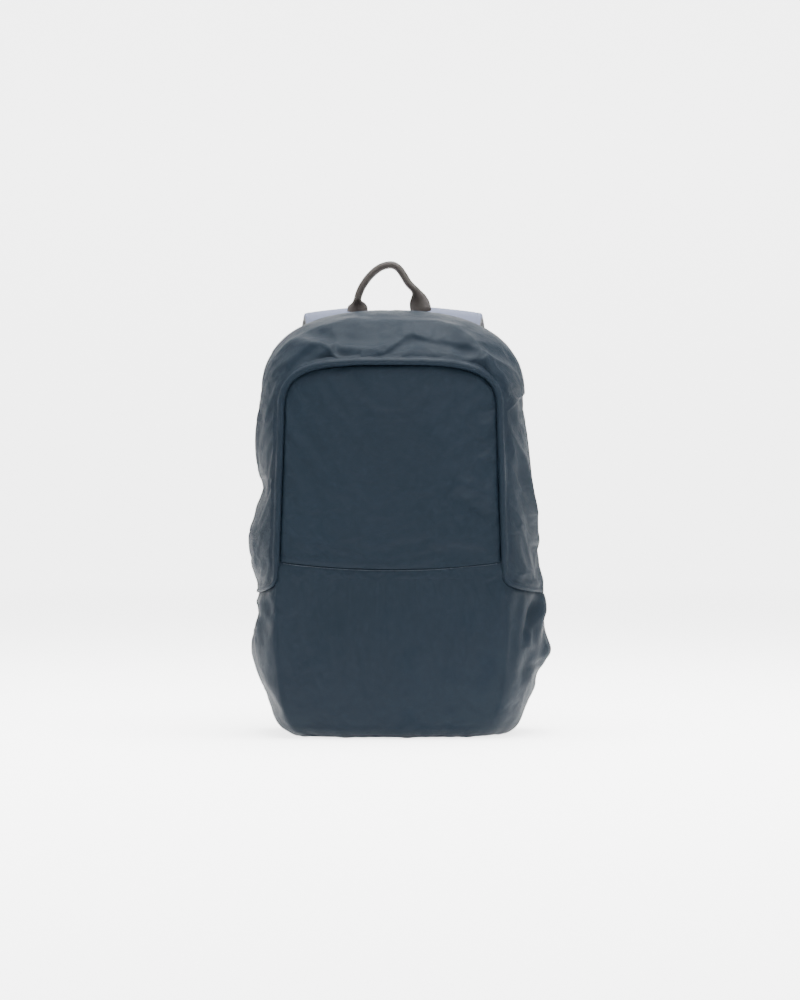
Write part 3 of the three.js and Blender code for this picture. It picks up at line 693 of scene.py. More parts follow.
def guided(control: Array, values: Mapping[str, Array], count: int) -> tuple[Array, dict[str, Array]]:
    """Draws a smooth line through control points and reads values that are known at them along it.

    Args:
        control: the points to pass through.
        values: named values at these points.
        count: how many points the line gets.

    Returns:
        The line's points, and the values at each.
    """
    line = rounded_line(control, count)
    share = along(line) / along(line)[-1]
    known = tuple(share[np.linalg.norm(line - point, axis=1).argmin()] for point in control)
    return line, {name: Column(known, tuple(value))(share) for name, value in values.items()}


class Cloth:
    """A piece of cloth or another skin as an indexed mesh, in millimetres."""

    def __init__(self, name: str) -> None:
        """Starts an empty piece.

        Args:
            name: the piece's name.
        """
        self.name = name
        self.points: list[Array] = []
        self.faces: list[tuple[int, ...]] = []
        self.corners: dict[int, Point] = {}
        self.known: dict[tuple, int] = {}

    def index_of(self, point: Array, uv: Point) -> int:
        """Finds the index of a point, shared with one already at the same place.

        Args:
            point: the point.
            uv: its place in the weave.

        Returns:
            The index.
        """
        key = tuple(np.round(point, 3))
        if key not in self.known:
            self.known[key] = len(self.points)
            self.corners[len(self.points)] = uv
            self.points.append(np.asarray(point, float))
        return self.known[key]

    def add_grid(self, grid: Array, uv: Array | None = None, closed: bool = False) -> Array:
        """Adds a grid of points.

        Args:
            grid: rows of points.
            uv: the place of each in the weave, which is the distance along its lines if not given.
            closed: whether each row joins its own start.

        Returns:
            The index of each point.
        """
        if uv is None:
            rows = np.stack([along(row) for row in grid])
            lines = np.stack([along(line) for line in grid.transpose(1, 0, 2)], axis=1)
            uv = np.stack([rows - rows[:, -1:] / 2, lines], axis=2)
        ids = np.array([
            [self.index_of(point, tuple(place)) for point, place in zip(row, places)]
            for row, places in zip(grid, uv)])
        loop = np.concatenate([ids, ids[:, :1]], axis=1) if closed else ids
        for lower, upper in zip(loop, loop[1:]):
            for p, q, r, s in zip(lower, lower[1:], upper[1:], upper):
                face = tuple(dict.fromkeys((int(p), int(q), int(r), int(s))))
                if len(face) > 2:
                    self.faces.append(face)
        return ids

    def add_cap(self, ids: Sequence[int]) -> None:
        """Closes a ring of points with one face."""
        self.faces.append(tuple(int(i) for i in dict.fromkeys(ids)))

    def add_tube(self, grid: Array, closed: bool = True) -> None:
        """Adds a grid whose rows are sections, and closes its first and last one."""
        ids = self.add_grid(grid, closed=closed)
        self.add_cap(ids[0][::-1])
        self.add_cap(ids[-1])

    def normals(self) -> Array:
        """Works out the normal at each point.

        Returns:
            The normals.
        """
        points = np.array(self.points)
        found = np.zeros_like(points)
        for size in {len(face) for face in self.faces}:
            ids = np.array([face for face in self.faces if len(face) == size])
            arms = points[ids] - points[ids].mean(axis=1, keepdims=True)
            facing = np.cross(arms, np.roll(arms, -1, axis=1)).sum(axis=1)
            for corner in ids.T:
                np.add.at(found, corner, facing)
        return unit(found)

    def border(self) -> list[tuple[int, int]]:
        """Finds the edges that only one face uses.

        Returns:
            The edges, each in that face's direction.
        """
        edges: dict[tuple[int, int], tuple[int, int]] = {}
        for face in self.faces:
            for p, q in zip(face, (*face[1:], face[0])):
                if edges.pop((q, p), None) is None:
                    edges[(p, q)] = (p, q)
        return list(edges.values())

    def turn_in(self, radius: float, depth: float, steps: int = 3) -> None:
        """Turns every border edge inward over a small round hem.

        Args:
            radius: radius of the turn.
            depth: how far the turned edge reaches inside.
            steps: points round the turn.
        """
        points, normals, border = np.array(self.points), self.normals(), self.border()
        outward = np.zeros_like(points)
        for p, q in border:
            way = np.cross(points[q] - points[p], normals[p] + normals[q])
            outward[p] += way
            outward[q] += way
        outward = unit(outward)
        rings: dict[int, list[int]] = {}
        for p in {i for edge in border for i in edge}:
            rings[p] = [p]
            angles = np.linspace(0, math.pi / 2, steps + 1)[1:]
            stops = [(radius * math.sin(a), radius * (1 - math.cos(a))) for a in angles]
            for out, down in [*stops, (radius, radius + depth / 2), (radius, radius + depth)]:
                point = points[p] + outward[p] * out - normals[p] * down
                u, v = self.corners[p]
                rings[p].append(len(self.points))
                self.corners[len(self.points)] = (u + out + down, v)
                self.points.append(point)
        for p, q in border:
            for a, b, c, d in zip(rings[q], rings[p], rings[p][1:], rings[q][1:]):
                self.faces.append((a, b, c, d))

    def piece(self, subdivide: int = 0) -> bpy.types.Object:
        """Makes the cloth a smooth object in metres.

        Args:
            subdivide: levels of subdivision, which are applied.

        Returns:
            The object.
        """
        mesh = bpy.data.meshes.new(self.name)
        mesh.from_pydata([tuple(point * MM) for point in self.points], [], self.faces)
        layer = mesh.uv_layers.new(name=WEAVE_UV)
        for loop in mesh.loops:
            u, v = self.corners[loop.vertex_index]
            layer.data[loop.index].uv = (u * MM, v * MM)
        piece = bpy.data.objects.new(self.name, mesh)
        bpy.context.scene.collection.objects.link(piece)
        if subdivide:
            piece = subdivided(piece, subdivide)
        piece.data.shade_smooth()
        return piece


def applied(piece: bpy.types.Object) -> bpy.types.Object:
    """Applies all of a piece's modifiers.

    Args:
        piece: the piece, which is changed.

    Returns:
        The piece.
    """
    graph = bpy.context.evaluated_depsgraph_get()
    mesh = bpy.data.meshes.new_from_object(piece.evaluated_get(graph))
    piece.modifiers.clear()
    piece.data = mesh
    return piece


def subdivided(piece: bpy.types.Object, levels: int) -> bpy.types.Object:
    """Subdivides a piece smoothly.

    Args:
        piece: the piece.
        levels: how many times.

    Returns:
        The piece.
    """
    modifier = piece.modifiers.new("Subdivision", "SUBSURF")
    modifier.levels = modifier.render_levels = levels
    return applied(piece)


# The form of the bag

SIDE_ROWS = columns("height left right", [
    (0.0, 0.69, 0.775), (0.025, 0.775, 0.85), (0.09, 0.85, 0.915), (0.165, 0.92, 0.995),
    (0.25, 0.945, 1.045), (0.34, 0.93, 1.025), (0.43, 0.925, 1.025), (0.5, 0.955, 1.0),
    (0.575, 0.965, 0.98), (0.66, 0.945, 0.965), (0.74, 0.915, 0.95), (0.86, 0.925, 0.92),
    (1.0, 0.9, 0.885),
])
PROFILE_ROWS = columns("height depth corner", [
    (0.0, 0.64, 0.74), (0.03, 0.77, 0.84), (0.08, 0.87, 0.915), (0.16, 0.95, 0.965), (0.29, 1.0, 1.0),
    (0.42, 0.995, 1.0), (0.65, 0.95, 1.0), (0.86, 0.86, 1.0), (1.0, 0.75, 1.0),
])


@dataclass(frozen=True)
class BagForm:
    """The surface that the fabric panels lie on."""

    height: float = 426.0
    half_width: float = 147.0
    front_depth: float = 83.0
    back_depth: float = 62.0
    dome_rise: float = 86.0
    shoulder_half: float = 132.0
    dome_squareness: float = 2.4
    side_ridge: float = 8.0
    crest_inset: float = 32.0
    crest_shift: float = -1.5
    corner_roundness: float = 1.6
    back_roundness: float = 2.8
    rim_inset: float = 11.0
    ridge_share: float = 0.6
    panel_shift: float = -2.3
    panel_half_top: float = 107.0
    panel_half_foot: float = 111.5
    panel_drop: float = 58.0
    panel_arch: float = 58.0
    panel_squareness: float = 3.6
    panel_foot: float = 157.0
    pocket_middle: float = 166.5
    pocket_end: float = 174.0
    side_seam: float = 142.5
    seam_turn: float = 0.45
    front_crown: float = 10.0

    @property
    def shoulder(self) -> float:
        """Returns the height where the domed top begins."""
        return self.height - self.dome_rise

    @property
    def panel_top(self) -> float:
        """Returns the height of the front panel's top."""
        return self.height - self.panel_drop

    @property
    def panel_shoulder(self) -> float:
        """Returns the height where the front panel's rounded top begins."""
        return self.panel_top - self.panel_arch

    def half_at(self, z: Array, side: Side) -> Array:
        """Returns the half width of the body at a height, on one side."""
        return self.half_width * SIDE_ROWS[side.word](z / self.shoulder)

    def front_half(self, z: Array) -> Array:
        """Finds the half width of the flat part of the front.

        Args:
            z: heights.

        Returns:
            The half width at each.
        """
        up = np.clip((z - self.panel_foot) / (self.panel_shoulder - self.panel_foot), 0, 1)
        corner = PROFILE_ROWS["corner"](z / self.panel_top)
        return mix(self.panel_half_foot, self.panel_half_top, up) * corner

    def front_y(self, x: Array, z: Array) -> Array:
        """Returns the depth of the front at a point of the front view."""
        share = np.minimum(1, np.abs(x - self.panel_shift) / self.front_half(z))
        return -self.front_depth * PROFILE_ROWS["depth"](z / self.panel_top) + self.front_crown * share ** 3

    def arch(self, share: Array, half: float, foot: float, top: float, squareness: float) -> tuple:
        """Finds places on an arch from the left (0) over its top to the right (1).

        Args:
            share: the place on the arch.
            half: its half width.
            foot: height of its ends.
            top: height of its top.
            squareness: exponent of its superellipse.

        Returns:
            The x and z of each.
        """
        turn = np.asarray(share) * math.pi
        c, s = np.cos(turn), np.maximum(np.sin(turn), 0)
        power = 2 / squareness
        return -np.sign(c) * half * np.abs(c) ** power, foot + (top - foot) * s ** power

    def side_guides(self, level: Array, side: Side) -> Array:
        """Finds the front edge, ridge and rim at levels of one side.

        Args:
            level: 0 at the base, 1 at the side seam and 2 at the shoulder.
            side: the side.

        Returns:
            Three points for each level.
        """
        level, hand = np.asarray(level, float), side.value
        up, down = np.maximum(0, level - 1), np.minimum(1, level)
        z_front = np.where(level < 1, down * self.panel_foot, mix(self.panel_foot, self.panel_shoulder, up))
        z_ridge = np.where(level < 1, down * self.side_seam, mix(self.side_seam, self.shoulder, up))
        x_front = self.panel_shift + hand * self.front_half(z_front)
        x_ridge = hand * np.where(level < 2, self.half_at(z_ridge, side), self.shoulder_half)
        front = np.stack([x_front, self.front_y(x_front, z_front), z_front], -1)
        ridge = np.stack([x_ridge, np.full_like(level, self.side_ridge), z_ridge], -1)
        rim = np.stack([x_ridge - hand * self.rim_inset, np.full_like(level, self.back_depth), z_ridge], -1)
        return np.stack([front, ridge, rim], axis=-2)

    def dome_guides(self, share: Array) -> Array:
        """Finds the front edge, ridge and rim on the way over the domed top.

        Args:
            share: shares of that way, from the left.

        Returns:
            Three points for each share.
        """
        share = np.asarray(share, float)
        lift = np.sin(share * math.pi)
        inner = self.shoulder_half - self.rim_inset
        xf, zf = self.arch(
            share, self.panel_half_top, self.panel_shoulder, self.panel_top, self.panel_squareness)
        xr, zr = self.arch(share, self.shoulder_half, self.shoulder, self.height, self.dome_squareness)
        xb, zb = self.arch(share, inner, self.shoulder, self.height - self.rim_inset, self.dome_squareness)
        x = self.panel_shift + xf
        front = np.stack([x, self.front_y(x, zf), zf], -1)
        crest = mix(self.side_ridge, self.back_depth - self.crest_inset, lift)
        ridge = np.stack([self.crest_shift * lift + xr, crest, zr], -1)
        rim = np.stack([self.crest_shift * lift + xb, np.full_like(share, self.back_depth), zb], -1)
        return np.stack([front, ridge, rim], axis=-2)

    def turn_at(self, level: Array) -> Array:
        """Returns how early the heights change from the front edge's to the ridge's, at levels."""
        return mix(self.seam_turn, 1.0, smooth(np.abs(np.asarray(level) - 1), 0, 0.5))

    def across(self, guides: Array, share: Array, turn: Array) -> Array:
        """Finds points from the front edge (0) over the ridge to the rim (1).

        Args:
            guides: front edge, ridge and rim of each row.
            share: places across each row.
            turn: how early the height of each row changes.

        Returns:
            A row of points for each.
        """
        front, ridge, rim = (guides[:, i, None, :] for i in range(3))
        share, turn = np.asarray(share)[None, :], np.asarray(turn)[:, None]
        on_front = share <= self.ridge_share
        past = (share - self.ridge_share) / (1 - self.ridge_share)
        part = np.where(on_front, share / self.ridge_share, past)
        sine = np.maximum(np.sin(part * math.pi / 2), 0)
        cosine = np.maximum(np.cos(part * math.pi / 2), 0)
        power = 2 / np.where(on_front, self.corner_roundness, self.back_roundness)
        out = np.where(on_front, sine, cosine) ** power
        back = np.where(on_front, 1 - cosine ** power, sine ** power)
        start = np.where(on_front[..., None], front, rim)
        x = mix(start[..., 0], ridge[..., 0], out)
        y_front, y_ridge, y_rim = front[..., 1], ridge[..., 1], rim[..., 1]
        y = np.where(on_front, mix(y_front, y_ridge, back), mix(y_ridge, y_rim, back))
        z = mix(start[..., 2], ridge[..., 2], np.where(on_front, out ** turn, out))
        return np.stack([x, y, z], axis=-1)

    def band(self, start: float, end: float) -> tuple[Array, Array]:
        """Lays out guides and turns from the right side over the dome to the left side.

        Args:
            start: level where the band begins and ends.
            end: level of the shoulder.

        Returns:
            The guides, and how early the height changes at each.
        """
        levels = np.linspace(start, end, 160, endpoint=False)
        guides = np.concatenate([
            self.side_guides(levels, Side.RIGHT), self.dome_guides(np.linspace(1, 0, 300)),
            self.side_guides(levels[::-1], Side.LEFT)])
        turns = self.turn_at(levels)
        return guides, np.concatenate([turns, np.ones(300), turns[::-1]])

    def pocket_seam(self, x: Array) -> Array:
        """Returns the height of the seam across the front."""
        share = (x - self.panel_shift) / self.panel_half_foot
        return mix(self.pocket_middle, self.pocket_end, share * share)


# Folds

@dataclass(frozen=True)
class Camera:
    """The photograph's camera: level, straight on and far enough away to look flat."""

    x: float = 7.0
    z: float = 233.0
    distance: float = 2500.0
    lens: float = 90.0

    def picture(self, points: Array) -> Array:
        """Works out where points are seen in the picture plane.

        Args:
            points: the points.

        Returns:
            The x and z of each.
        """
        scale = self.distance / (self.distance + points[..., 1])
        x = self.x + (points[..., 0] - self.x) * scale
        z = self.z + (points[..., 2] - self.z) * scale
        return np.stack([x, z], axis=-1)

    def install(self) -> None:
        """Adds the camera to the scene."""
        data = bpy.data.cameras.new("camera")
        data.lens = self.lens
        data.sensor_width = 36.0
        camera = bpy.data.objects.new("camera", data)
        camera.location = (self.x * MM, -self.distance * MM, self.z * MM)
        camera.rotation_euler = (math.pi / 2, 0.0, 0.0)
        bpy.context.scene.collection.objects.link(camera)
        bpy.context.scene.camera = camera


def line_distance(points: Array, line: Array) -> tuple[Array, Array, Array]:
    """Measures the distance from points to a line, the way off it and the share along it.

    Args:
        points: the points.
        line: the line's points, in as many directions.

    Returns:
        The distance, the offset from the nearest place on the line, and its share of the length.
    """
    best = np.full(len(points), np.inf)
    offset, share = np.zeros_like(points), np.zeros(len(points))
    at = along(line)
    for i, (start, end) in enumerate(zip(line, line[1:])):
        way = end - start
        t = np.clip(((points - start) @ way) / max(way @ way, 1e-9), 0, 1)
        off = points - (start + t[:, None] * way)
        distance = np.linalg.norm(off, axis=1)
        nearer = distance < best
        best = np.where(nearer, distance, best)
        offset[nearer] = off[nearer]
        share = np.where(nearer, (at[i] + t * (at[i + 1] - at[i])) / at[-1], share)
    return best, offset, share


@dataclass(frozen=True)
class Dent:
    """A broad fold or dent of the solid form, as shares of the body's half width, depth and height."""

    start: tuple[float, float, float]
    end: tuple[float, float, float]
    rise: float
    spread: float


DENTS = [Dent(*row) for row in [
    ((-0.5, -0.4, 0.93), (-0.34, -0.72, 0.875), -0.05, 0.075),
    ((-0.66, -0.3, 0.9), (-0.42, -0.62, 0.9), 0.04, 0.08),
    ((-0.72, -0.2, 0.86), (-0.3, -0.2, 0.955), 0.035, 0.09),
    ((-0.2, -0.25, 0.95), (0.3, -0.22, 0.952), 0.03, 0.08),
    ((-0.28, -0.5, 0.915), (0.42, -0.5, 0.912), -0.04, 0.09),
    ((0.4, -0.3, 0.945), (0.62, -0.66, 0.875), 0.045, 0.07),
    ((0.5, -0.6, 0.9), (0.76, -0.2, 0.87), -0.045, 0.08),
    ((-0.93, -0.3, 0.57), (-0.92, 0.45, 0.58), -0.035, 0.14),
    ((-0.9, -0.1, 0.74), (-0.92, 0.15, 0.62), 0.03, 0.08),
    ((-0.97, -0.3, 0.44), (-0.96, 0.35, 0.45), 0.03, 0.16),
    ((0.9, -0.35, 0.64), (0.98, 0.1, 0.47), 0.035, 0.07),
    ((0.84, -0.5, 0.6), (0.93, -0.2, 0.4), -0.04, 0.1),
    ((-0.95, -0.3, 0.315), (-0.9, 0.2, 0.275), -0.04, 0.07),
    ((-0.95, -0.4, 0.22), (-0.95, 0.3, 0.2), 0.04, 0.14),
    ((-0.88, -0.35, 0.1), (-0.85, 0.3, 0.12), -0.03, 0.1),
    ((1.02, -0.1, 0.31), (0.92, -0.55, 0.215), 0.05, 0.07),
    ((0.96, -0.5, 0.285), (0.9, -0.6, 0.16), -0.05, 0.08),
    ((1.03, -0.1, 0.19), (1.03, 0.2, 0.2), 0.06, 0.09),
    ((1.0, -0.2, 0.14), (1.0, 0.3, 0.145), -0.04, 0.07),
    ((-0.72, -0.9, 0.16), (-0.5, -1.0, 0.3), -0.035, 0.16),
    ((-0.6, -0.95, 0.75), (-0.5, -0.97, 0.52), -0.03, 0.16),
    ((0.4, -0.97, 0.61), (0.68, -0.9, 0.55), 0.02, 0.1),
]]


@dataclass(frozen=True)
class Crease:
    """A fold as it is seen in the picture plane, steeper on one of its sides.

    The line's points are x and z, rise is how far it stands up or, if negative, sinks, and left and
    right are how far it spreads to the two sides of the line's direction.
    """

    line: tuple[Point, ...]
    rise: float
    left: float
    right: float


CREASES = [Crease(*row) for row in [
    # top left corner: ridge over the corner, and the tuck beside it
    (((-112, 358), (-103, 371), (-93, 380), (-83, 386), (-73, 389), (-62, 387)), 3.2, 8, 3.2),
    (((-77, 374), (-66, 378), (-58, 372), (-49, 366)), -3.2, 2.4, 3.2),
    (((-66, 387), (-59, 378), (-51, 370)), 2.2, 3.5, 2.4),
    (((-113, 361), (-106, 366)), -1.4, 2.5, 2.5),
    # arching ridge from the left corner over the middle
    (((-112, 383), (-93, 394), (-68, 402), (-40, 405), (-14, 404)), 1.4, 12, 7),
    # curved crease in the middle
    (((-12, 379), (-3, 386), (5, 393), (12, 399), (21, 401), (32, 397), (45, 394)), 2.6, 8, 2.4),
    (((-6, 377), (5, 386), (14, 392), (26, 393)), -1.5, 3, 6),
    # right corner: ridge, crease and the fold that runs on outward
    (((40, 396), (60, 393), (75, 389), (86, 383), (91, 375)), 3.0, 8, 3),
    (((72, 368), (84, 370), (90, 364), (97, 352)), -3.0, 2.6, 2.6),
    (((84, 371), (91, 372), (97, 363), (103, 352)), 2.2, 2.6, 2.6),
    (((85, 384), (98, 373), (109, 357), (116, 338)), 2.0, 8, 4),
    (((121, 346), (127, 335), (130, 320)), -1.2, 4, 3),
    # left side
    (((-132, 336), (-127, 321), (-125, 300)), 1.3, 4, 3),
    (((-124, 352), (-120, 334), (-118, 312), (-120, 290)), -1.0, 5, 5),
    (((-135, 258), (-131, 244), (-132, 231)), -1.6, 6, 5),
    (((-137, 205), (-131, 190), (-124, 178)), 0.9, 7, 7),
    # right side
    (((117, 340), (113, 300), (115, 255), (119, 215)), -1.7, 6, 7),
    (((129, 244), (136, 232), (142, 216)), 1.5, 5, 2.5),
    (((132, 208), (140, 197), (145, 188)), 1.2, 4, 2.5),
    (((122, 200), (129, 175), (138, 152)), 0.9, 7, 6),
    # lower left
    (((-138, 137), (-131, 127), (-130, 118), (-136, 104)), 2.6, 4, 2.5),
    (((-119, 134), (-129, 118), (-127, 98)), -1.6, 5, 5),
    (((-129, 47), (-121, 33), (-113, 17)), -1.6, 3, 4),
    (((-110, 125), (-98, 95), (-84, 64)), -1.5, 14, 12),
    # lower right
    (((145, 137), (139, 121), (134, 104), (132, 90)), -2.4, 3, 4),
    (((150, 128), (143, 116), (138, 104), (136, 88)), 2.6, 3, 2.5),
    (((156, 79), (147, 71), (138, 66)), -1.8, 3, 3.5),
    (((124, 142), (123, 103), (117, 60)), -1.8, 7, 7),
    (((93, 150), (104, 153), (113, 156)), -1.0, 3, 2.5),
    # front panel: soft patches at its right and puckers at its edge
    (((60, 254), (82, 245), (104, 234)), 1.9, 9, 8),
    (((56, 240), (80, 228), (104, 214)), -1.8, 9, 8),
    (((84, 321), (105, 325)), -1.3, 2.5, 2.5),
    (((85, 308), (106, 311)), 1.2, 3, 2.5),
    (((80, 291), (106, 296)), -1.3, 3, 3),
    (((83, 275), (106, 277)), 1.2, 3, 3),
    (((-97, 352), (-90, 338)), -0.9, 3, 3),
    (((-40, 364), (-34, 350)), -0.7, 3, 4),
    (((40, 363), (31, 350)), -0.7, 4, 3),
    (((86, 352), (72, 334)), 0.9, 4, 4),
]]


@dataclass
class Drapery:
    """Raises the folds of the fabric, and lets slack cloth buckle between its seams."""

    form: BagForm
    camera: Camera
    roll_fade: float = 11.0
    hem_fade: float = 20.0
    slack: float = 0.02
    hold: float = 0.12
    reach: float = 1.1
    frames: int = 16

    def __post_init__(self) -> None:
        """Works out the line that the front panel is sewn along."""
        guides, _ = self.form.band(1.0, 2.0)
        self.roll_line = evenly(guides[:, 0], 90)

    def rise(self, points: Array, normals: Array) -> Array:
        """Works out how far the folds raise the fabric.

        Args:
            points: points of the smooth form.
            normals: its normals there.

        Returns:
            The rise at each point.
        """
        size = np.array([self.form.half_width, self.form.front_depth, self.form.height])
        broad = np.zeros(len(points))
        for dent in DENTS:
            line = np.array([dent.start, dent.end]) * size
            distance, _, _ = line_distance(points, line)
            spread = dent.spread * self.form.half_width
            broad += dent.rise * self.form.front_depth * np.exp(-((distance / spread) ** 2))
        from_roll, _, _ = line_distance(points, self.roll_line)
        to_back = smooth(self.form.back_depth - points[:, 1], 0, self.hem_fade)
        broad *= smooth(from_roll, 0, self.roll_fade) * smooth(points[:, 2], 0, self.hem_fade) * to_back
        seen = smooth(-normals[:, 1], -0.3, 0.0) * to_back * smooth(from_roll, 1.5, 6.0)
        return broad + self._creases(points) * seen * smooth(points[:, 2], 0, self.hem_fade / 2)

    def _creases(self, points: Array) -> Array:
        """Works out how far the creases raise points, by where these are seen.

        Args:
            points: the points.

        Returns:
            The rise at each.
        """
        picture = self.camera.picture(points)
        total = np.zeros(len(points))
        for crease in CREASES:
            line = np.asarray(crease.line, float)
            distance, offset, share = line_distance(picture, line)
            way = line[-1] - line[0]
            on_left = offset[:, 1] * way[0] - offset[:, 0] * way[1] > 0
            spread = np.where(on_left, crease.left, crease.right)
            ends = 0.35 + 0.65 * smooth(share, 0, 0.2) * smooth(1 - share, 0, 0.2)
            total += crease.rise * ends * np.exp(-((distance / spread) ** 2))
        return total

    def fold(self, cloth: Cloth) -> None:
        """Raises the folds of a piece of cloth.

        Args:
            cloth: the cloth, which is changed.
        """
        points, normals = np.array(cloth.points), cloth.normals()
        cloth.points = list(points + normals * self.rise(points, normals)[:, None])

    def settle(self, cloths: Sequence[Cloth]) -> None:
        """Simulates pieces of cloth that are sewn down along their borders and slack between them.

        Args:
            cloths: the pieces, which are changed.
        """
        pieces = []
        for cloth in cloths:
            piece = cloth.piece()
            pins = piece.vertex_groups.new(name="sewn")
            sewn = {i for edge in cloth.border() for i in edge}
            pins.add(list(range(len(cloth.points))), self.hold, "REPLACE")
            pins.add(sorted(sewn), 1.0, "REPLACE")
            self._set_cloth(piece.modifiers.new("Cloth", "CLOTH"))
            pieces.append(piece)
        scene = bpy.context.scene
        for step in range(1, self.frames + 1):
            scene.frame_set(step)
            bpy.context.view_layer.update()
        for cloth, piece in zip(cloths, pieces):
            settled = piece.evaluated_get(bpy.context.evaluated_depsgraph_get()).data
            found = np.array([vertex.co[:] for vertex in settled.vertices]) / MM
            moved = found - np.array(cloth.points)
            length = np.linalg.norm(moved, axis=1, keepdims=True)
            log.info("%s moved %.2f mm, at most %.2f", cloth.name, length.mean(), length.max())
            cloth.points = list(np.array(cloth.points) + moved / (1 + (length / self.reach) ** 2) ** 0.5)
            bpy.data.objects.remove(piece)
        scene.frame_set(1)

    def _set_cloth(self, modifier: bpy.types.ClothModifier) -> None:
        """Sets the cloth's stiffness, slack and seams.

        Args:
            modifier: the cloth's modifier.
        """
        settings = modifier.settings
        settings.quality = 6
        settings.mass = 0.12
        settings.tension_stiffness = settings.compression_stiffness = 18.0
        settings.shear_stiffness = 6.0
        settings.bending_stiffness = 0.6
        settings.air_damping = 3.0
        settings.vertex_group_mass = "sewn"
        settings.pin_stiffness = 1.0
        settings.shrink_min = -self.slack
        settings.effector_weights.gravity = 0.15
        modifier.collision_settings.use_collision = False


# Stitching

STITCH_RINGS = ((-0.5, 0.45, -0.5), (-0.3, 0.95, 0.4), (0.3, 0.95, 0.4), (0.5, 0.45, -0.5))


@dataclass
class Stitching:
    """A run of raised stitches along a line."""

    finishes: Finishes
    pitch: float = 2.8
    length: float = 1.8
    radius: float = 0.2
    lift: float = 0.05

    def sew(self, name: str, runs: Sequence[tuple[Array, Array]]) -> bpy.types.Object:
        """Makes the stitches of one or more runs.

        Args:
            name: the piece's name.
            runs: the points of each line, and the outward direction at each.

        Returns:
            The stitches as one piece.
        """
        thread = Cloth(name)
        for points, normals in runs:
            count = max(2, int(along(points)[-1] / self.pitch))
            spots = evenly(np.concatenate([points, normals], axis=1), count + 1)
            for here, after in zip(spots, spots[1:]):
                self._stitch(thread, (here[:3] + after[:3]) / 2, after[:3] - here[:3], unit(here[3:]))
        return self.finishes.mount(thread.piece(), self.finishes.thread)

    def _stitch(self, thread: Cloth, middle: Array, way: Array, out: Array) -> None:
        """Adds one stitch, a bead that dips into the cloth at both its ends.

        Args:
            thread: the mesh that it is added to.
            middle: its middle.
            way: its direction.
            out: the cloth's outward direction.
        """
        way = unit(way)
        side = unit(np.cross(out, way))
        rings = []
        for place, size, rise in STITCH_RINGS:
            centre = middle + way * place * self.length + out * (self.lift + rise * self.radius)
            rings.append(ring(centre, side * self.radius * size, out * self.radius * size))
        thread.add_tube(np.array(rings))


# The fabric body

BASE_WAVES = ((1.0, 0.11, 0.0), (0.6, 0.31, 1.0))
BASE_RINGS = (
    (0.985, 4.0), (0.98, 1.9), (0.965, 1.0), (0.94, 0.6), (0.7, 0.5), (0.4, 0.5), (0.12, 0.5),
)
# The roll's section, from its outer to its inner edge, as drawn for this width and height
ROLL_SECTION = (
    (2.6, -3.4), (3.2, -1.4), (3.5, 0.3), (3.4, 1.6), (2.8, 2.6), (1.7, 3.3), (0.4, 3.55), (-0.9, 3.3),
    (-2.0, 2.6), (-2.9, 1.6), (-3.6, 0.7), (-4.4, 0.1), (-5.6, -0.5), (-7.2, -1.3),
)
ROLL_DRAWN = (7.0, 3.55)
ROLL_WAVES = ((0.05, 0.21, 0.0), (0.04, 0.093, 2.0), (0.03, 0.47, 1.0))


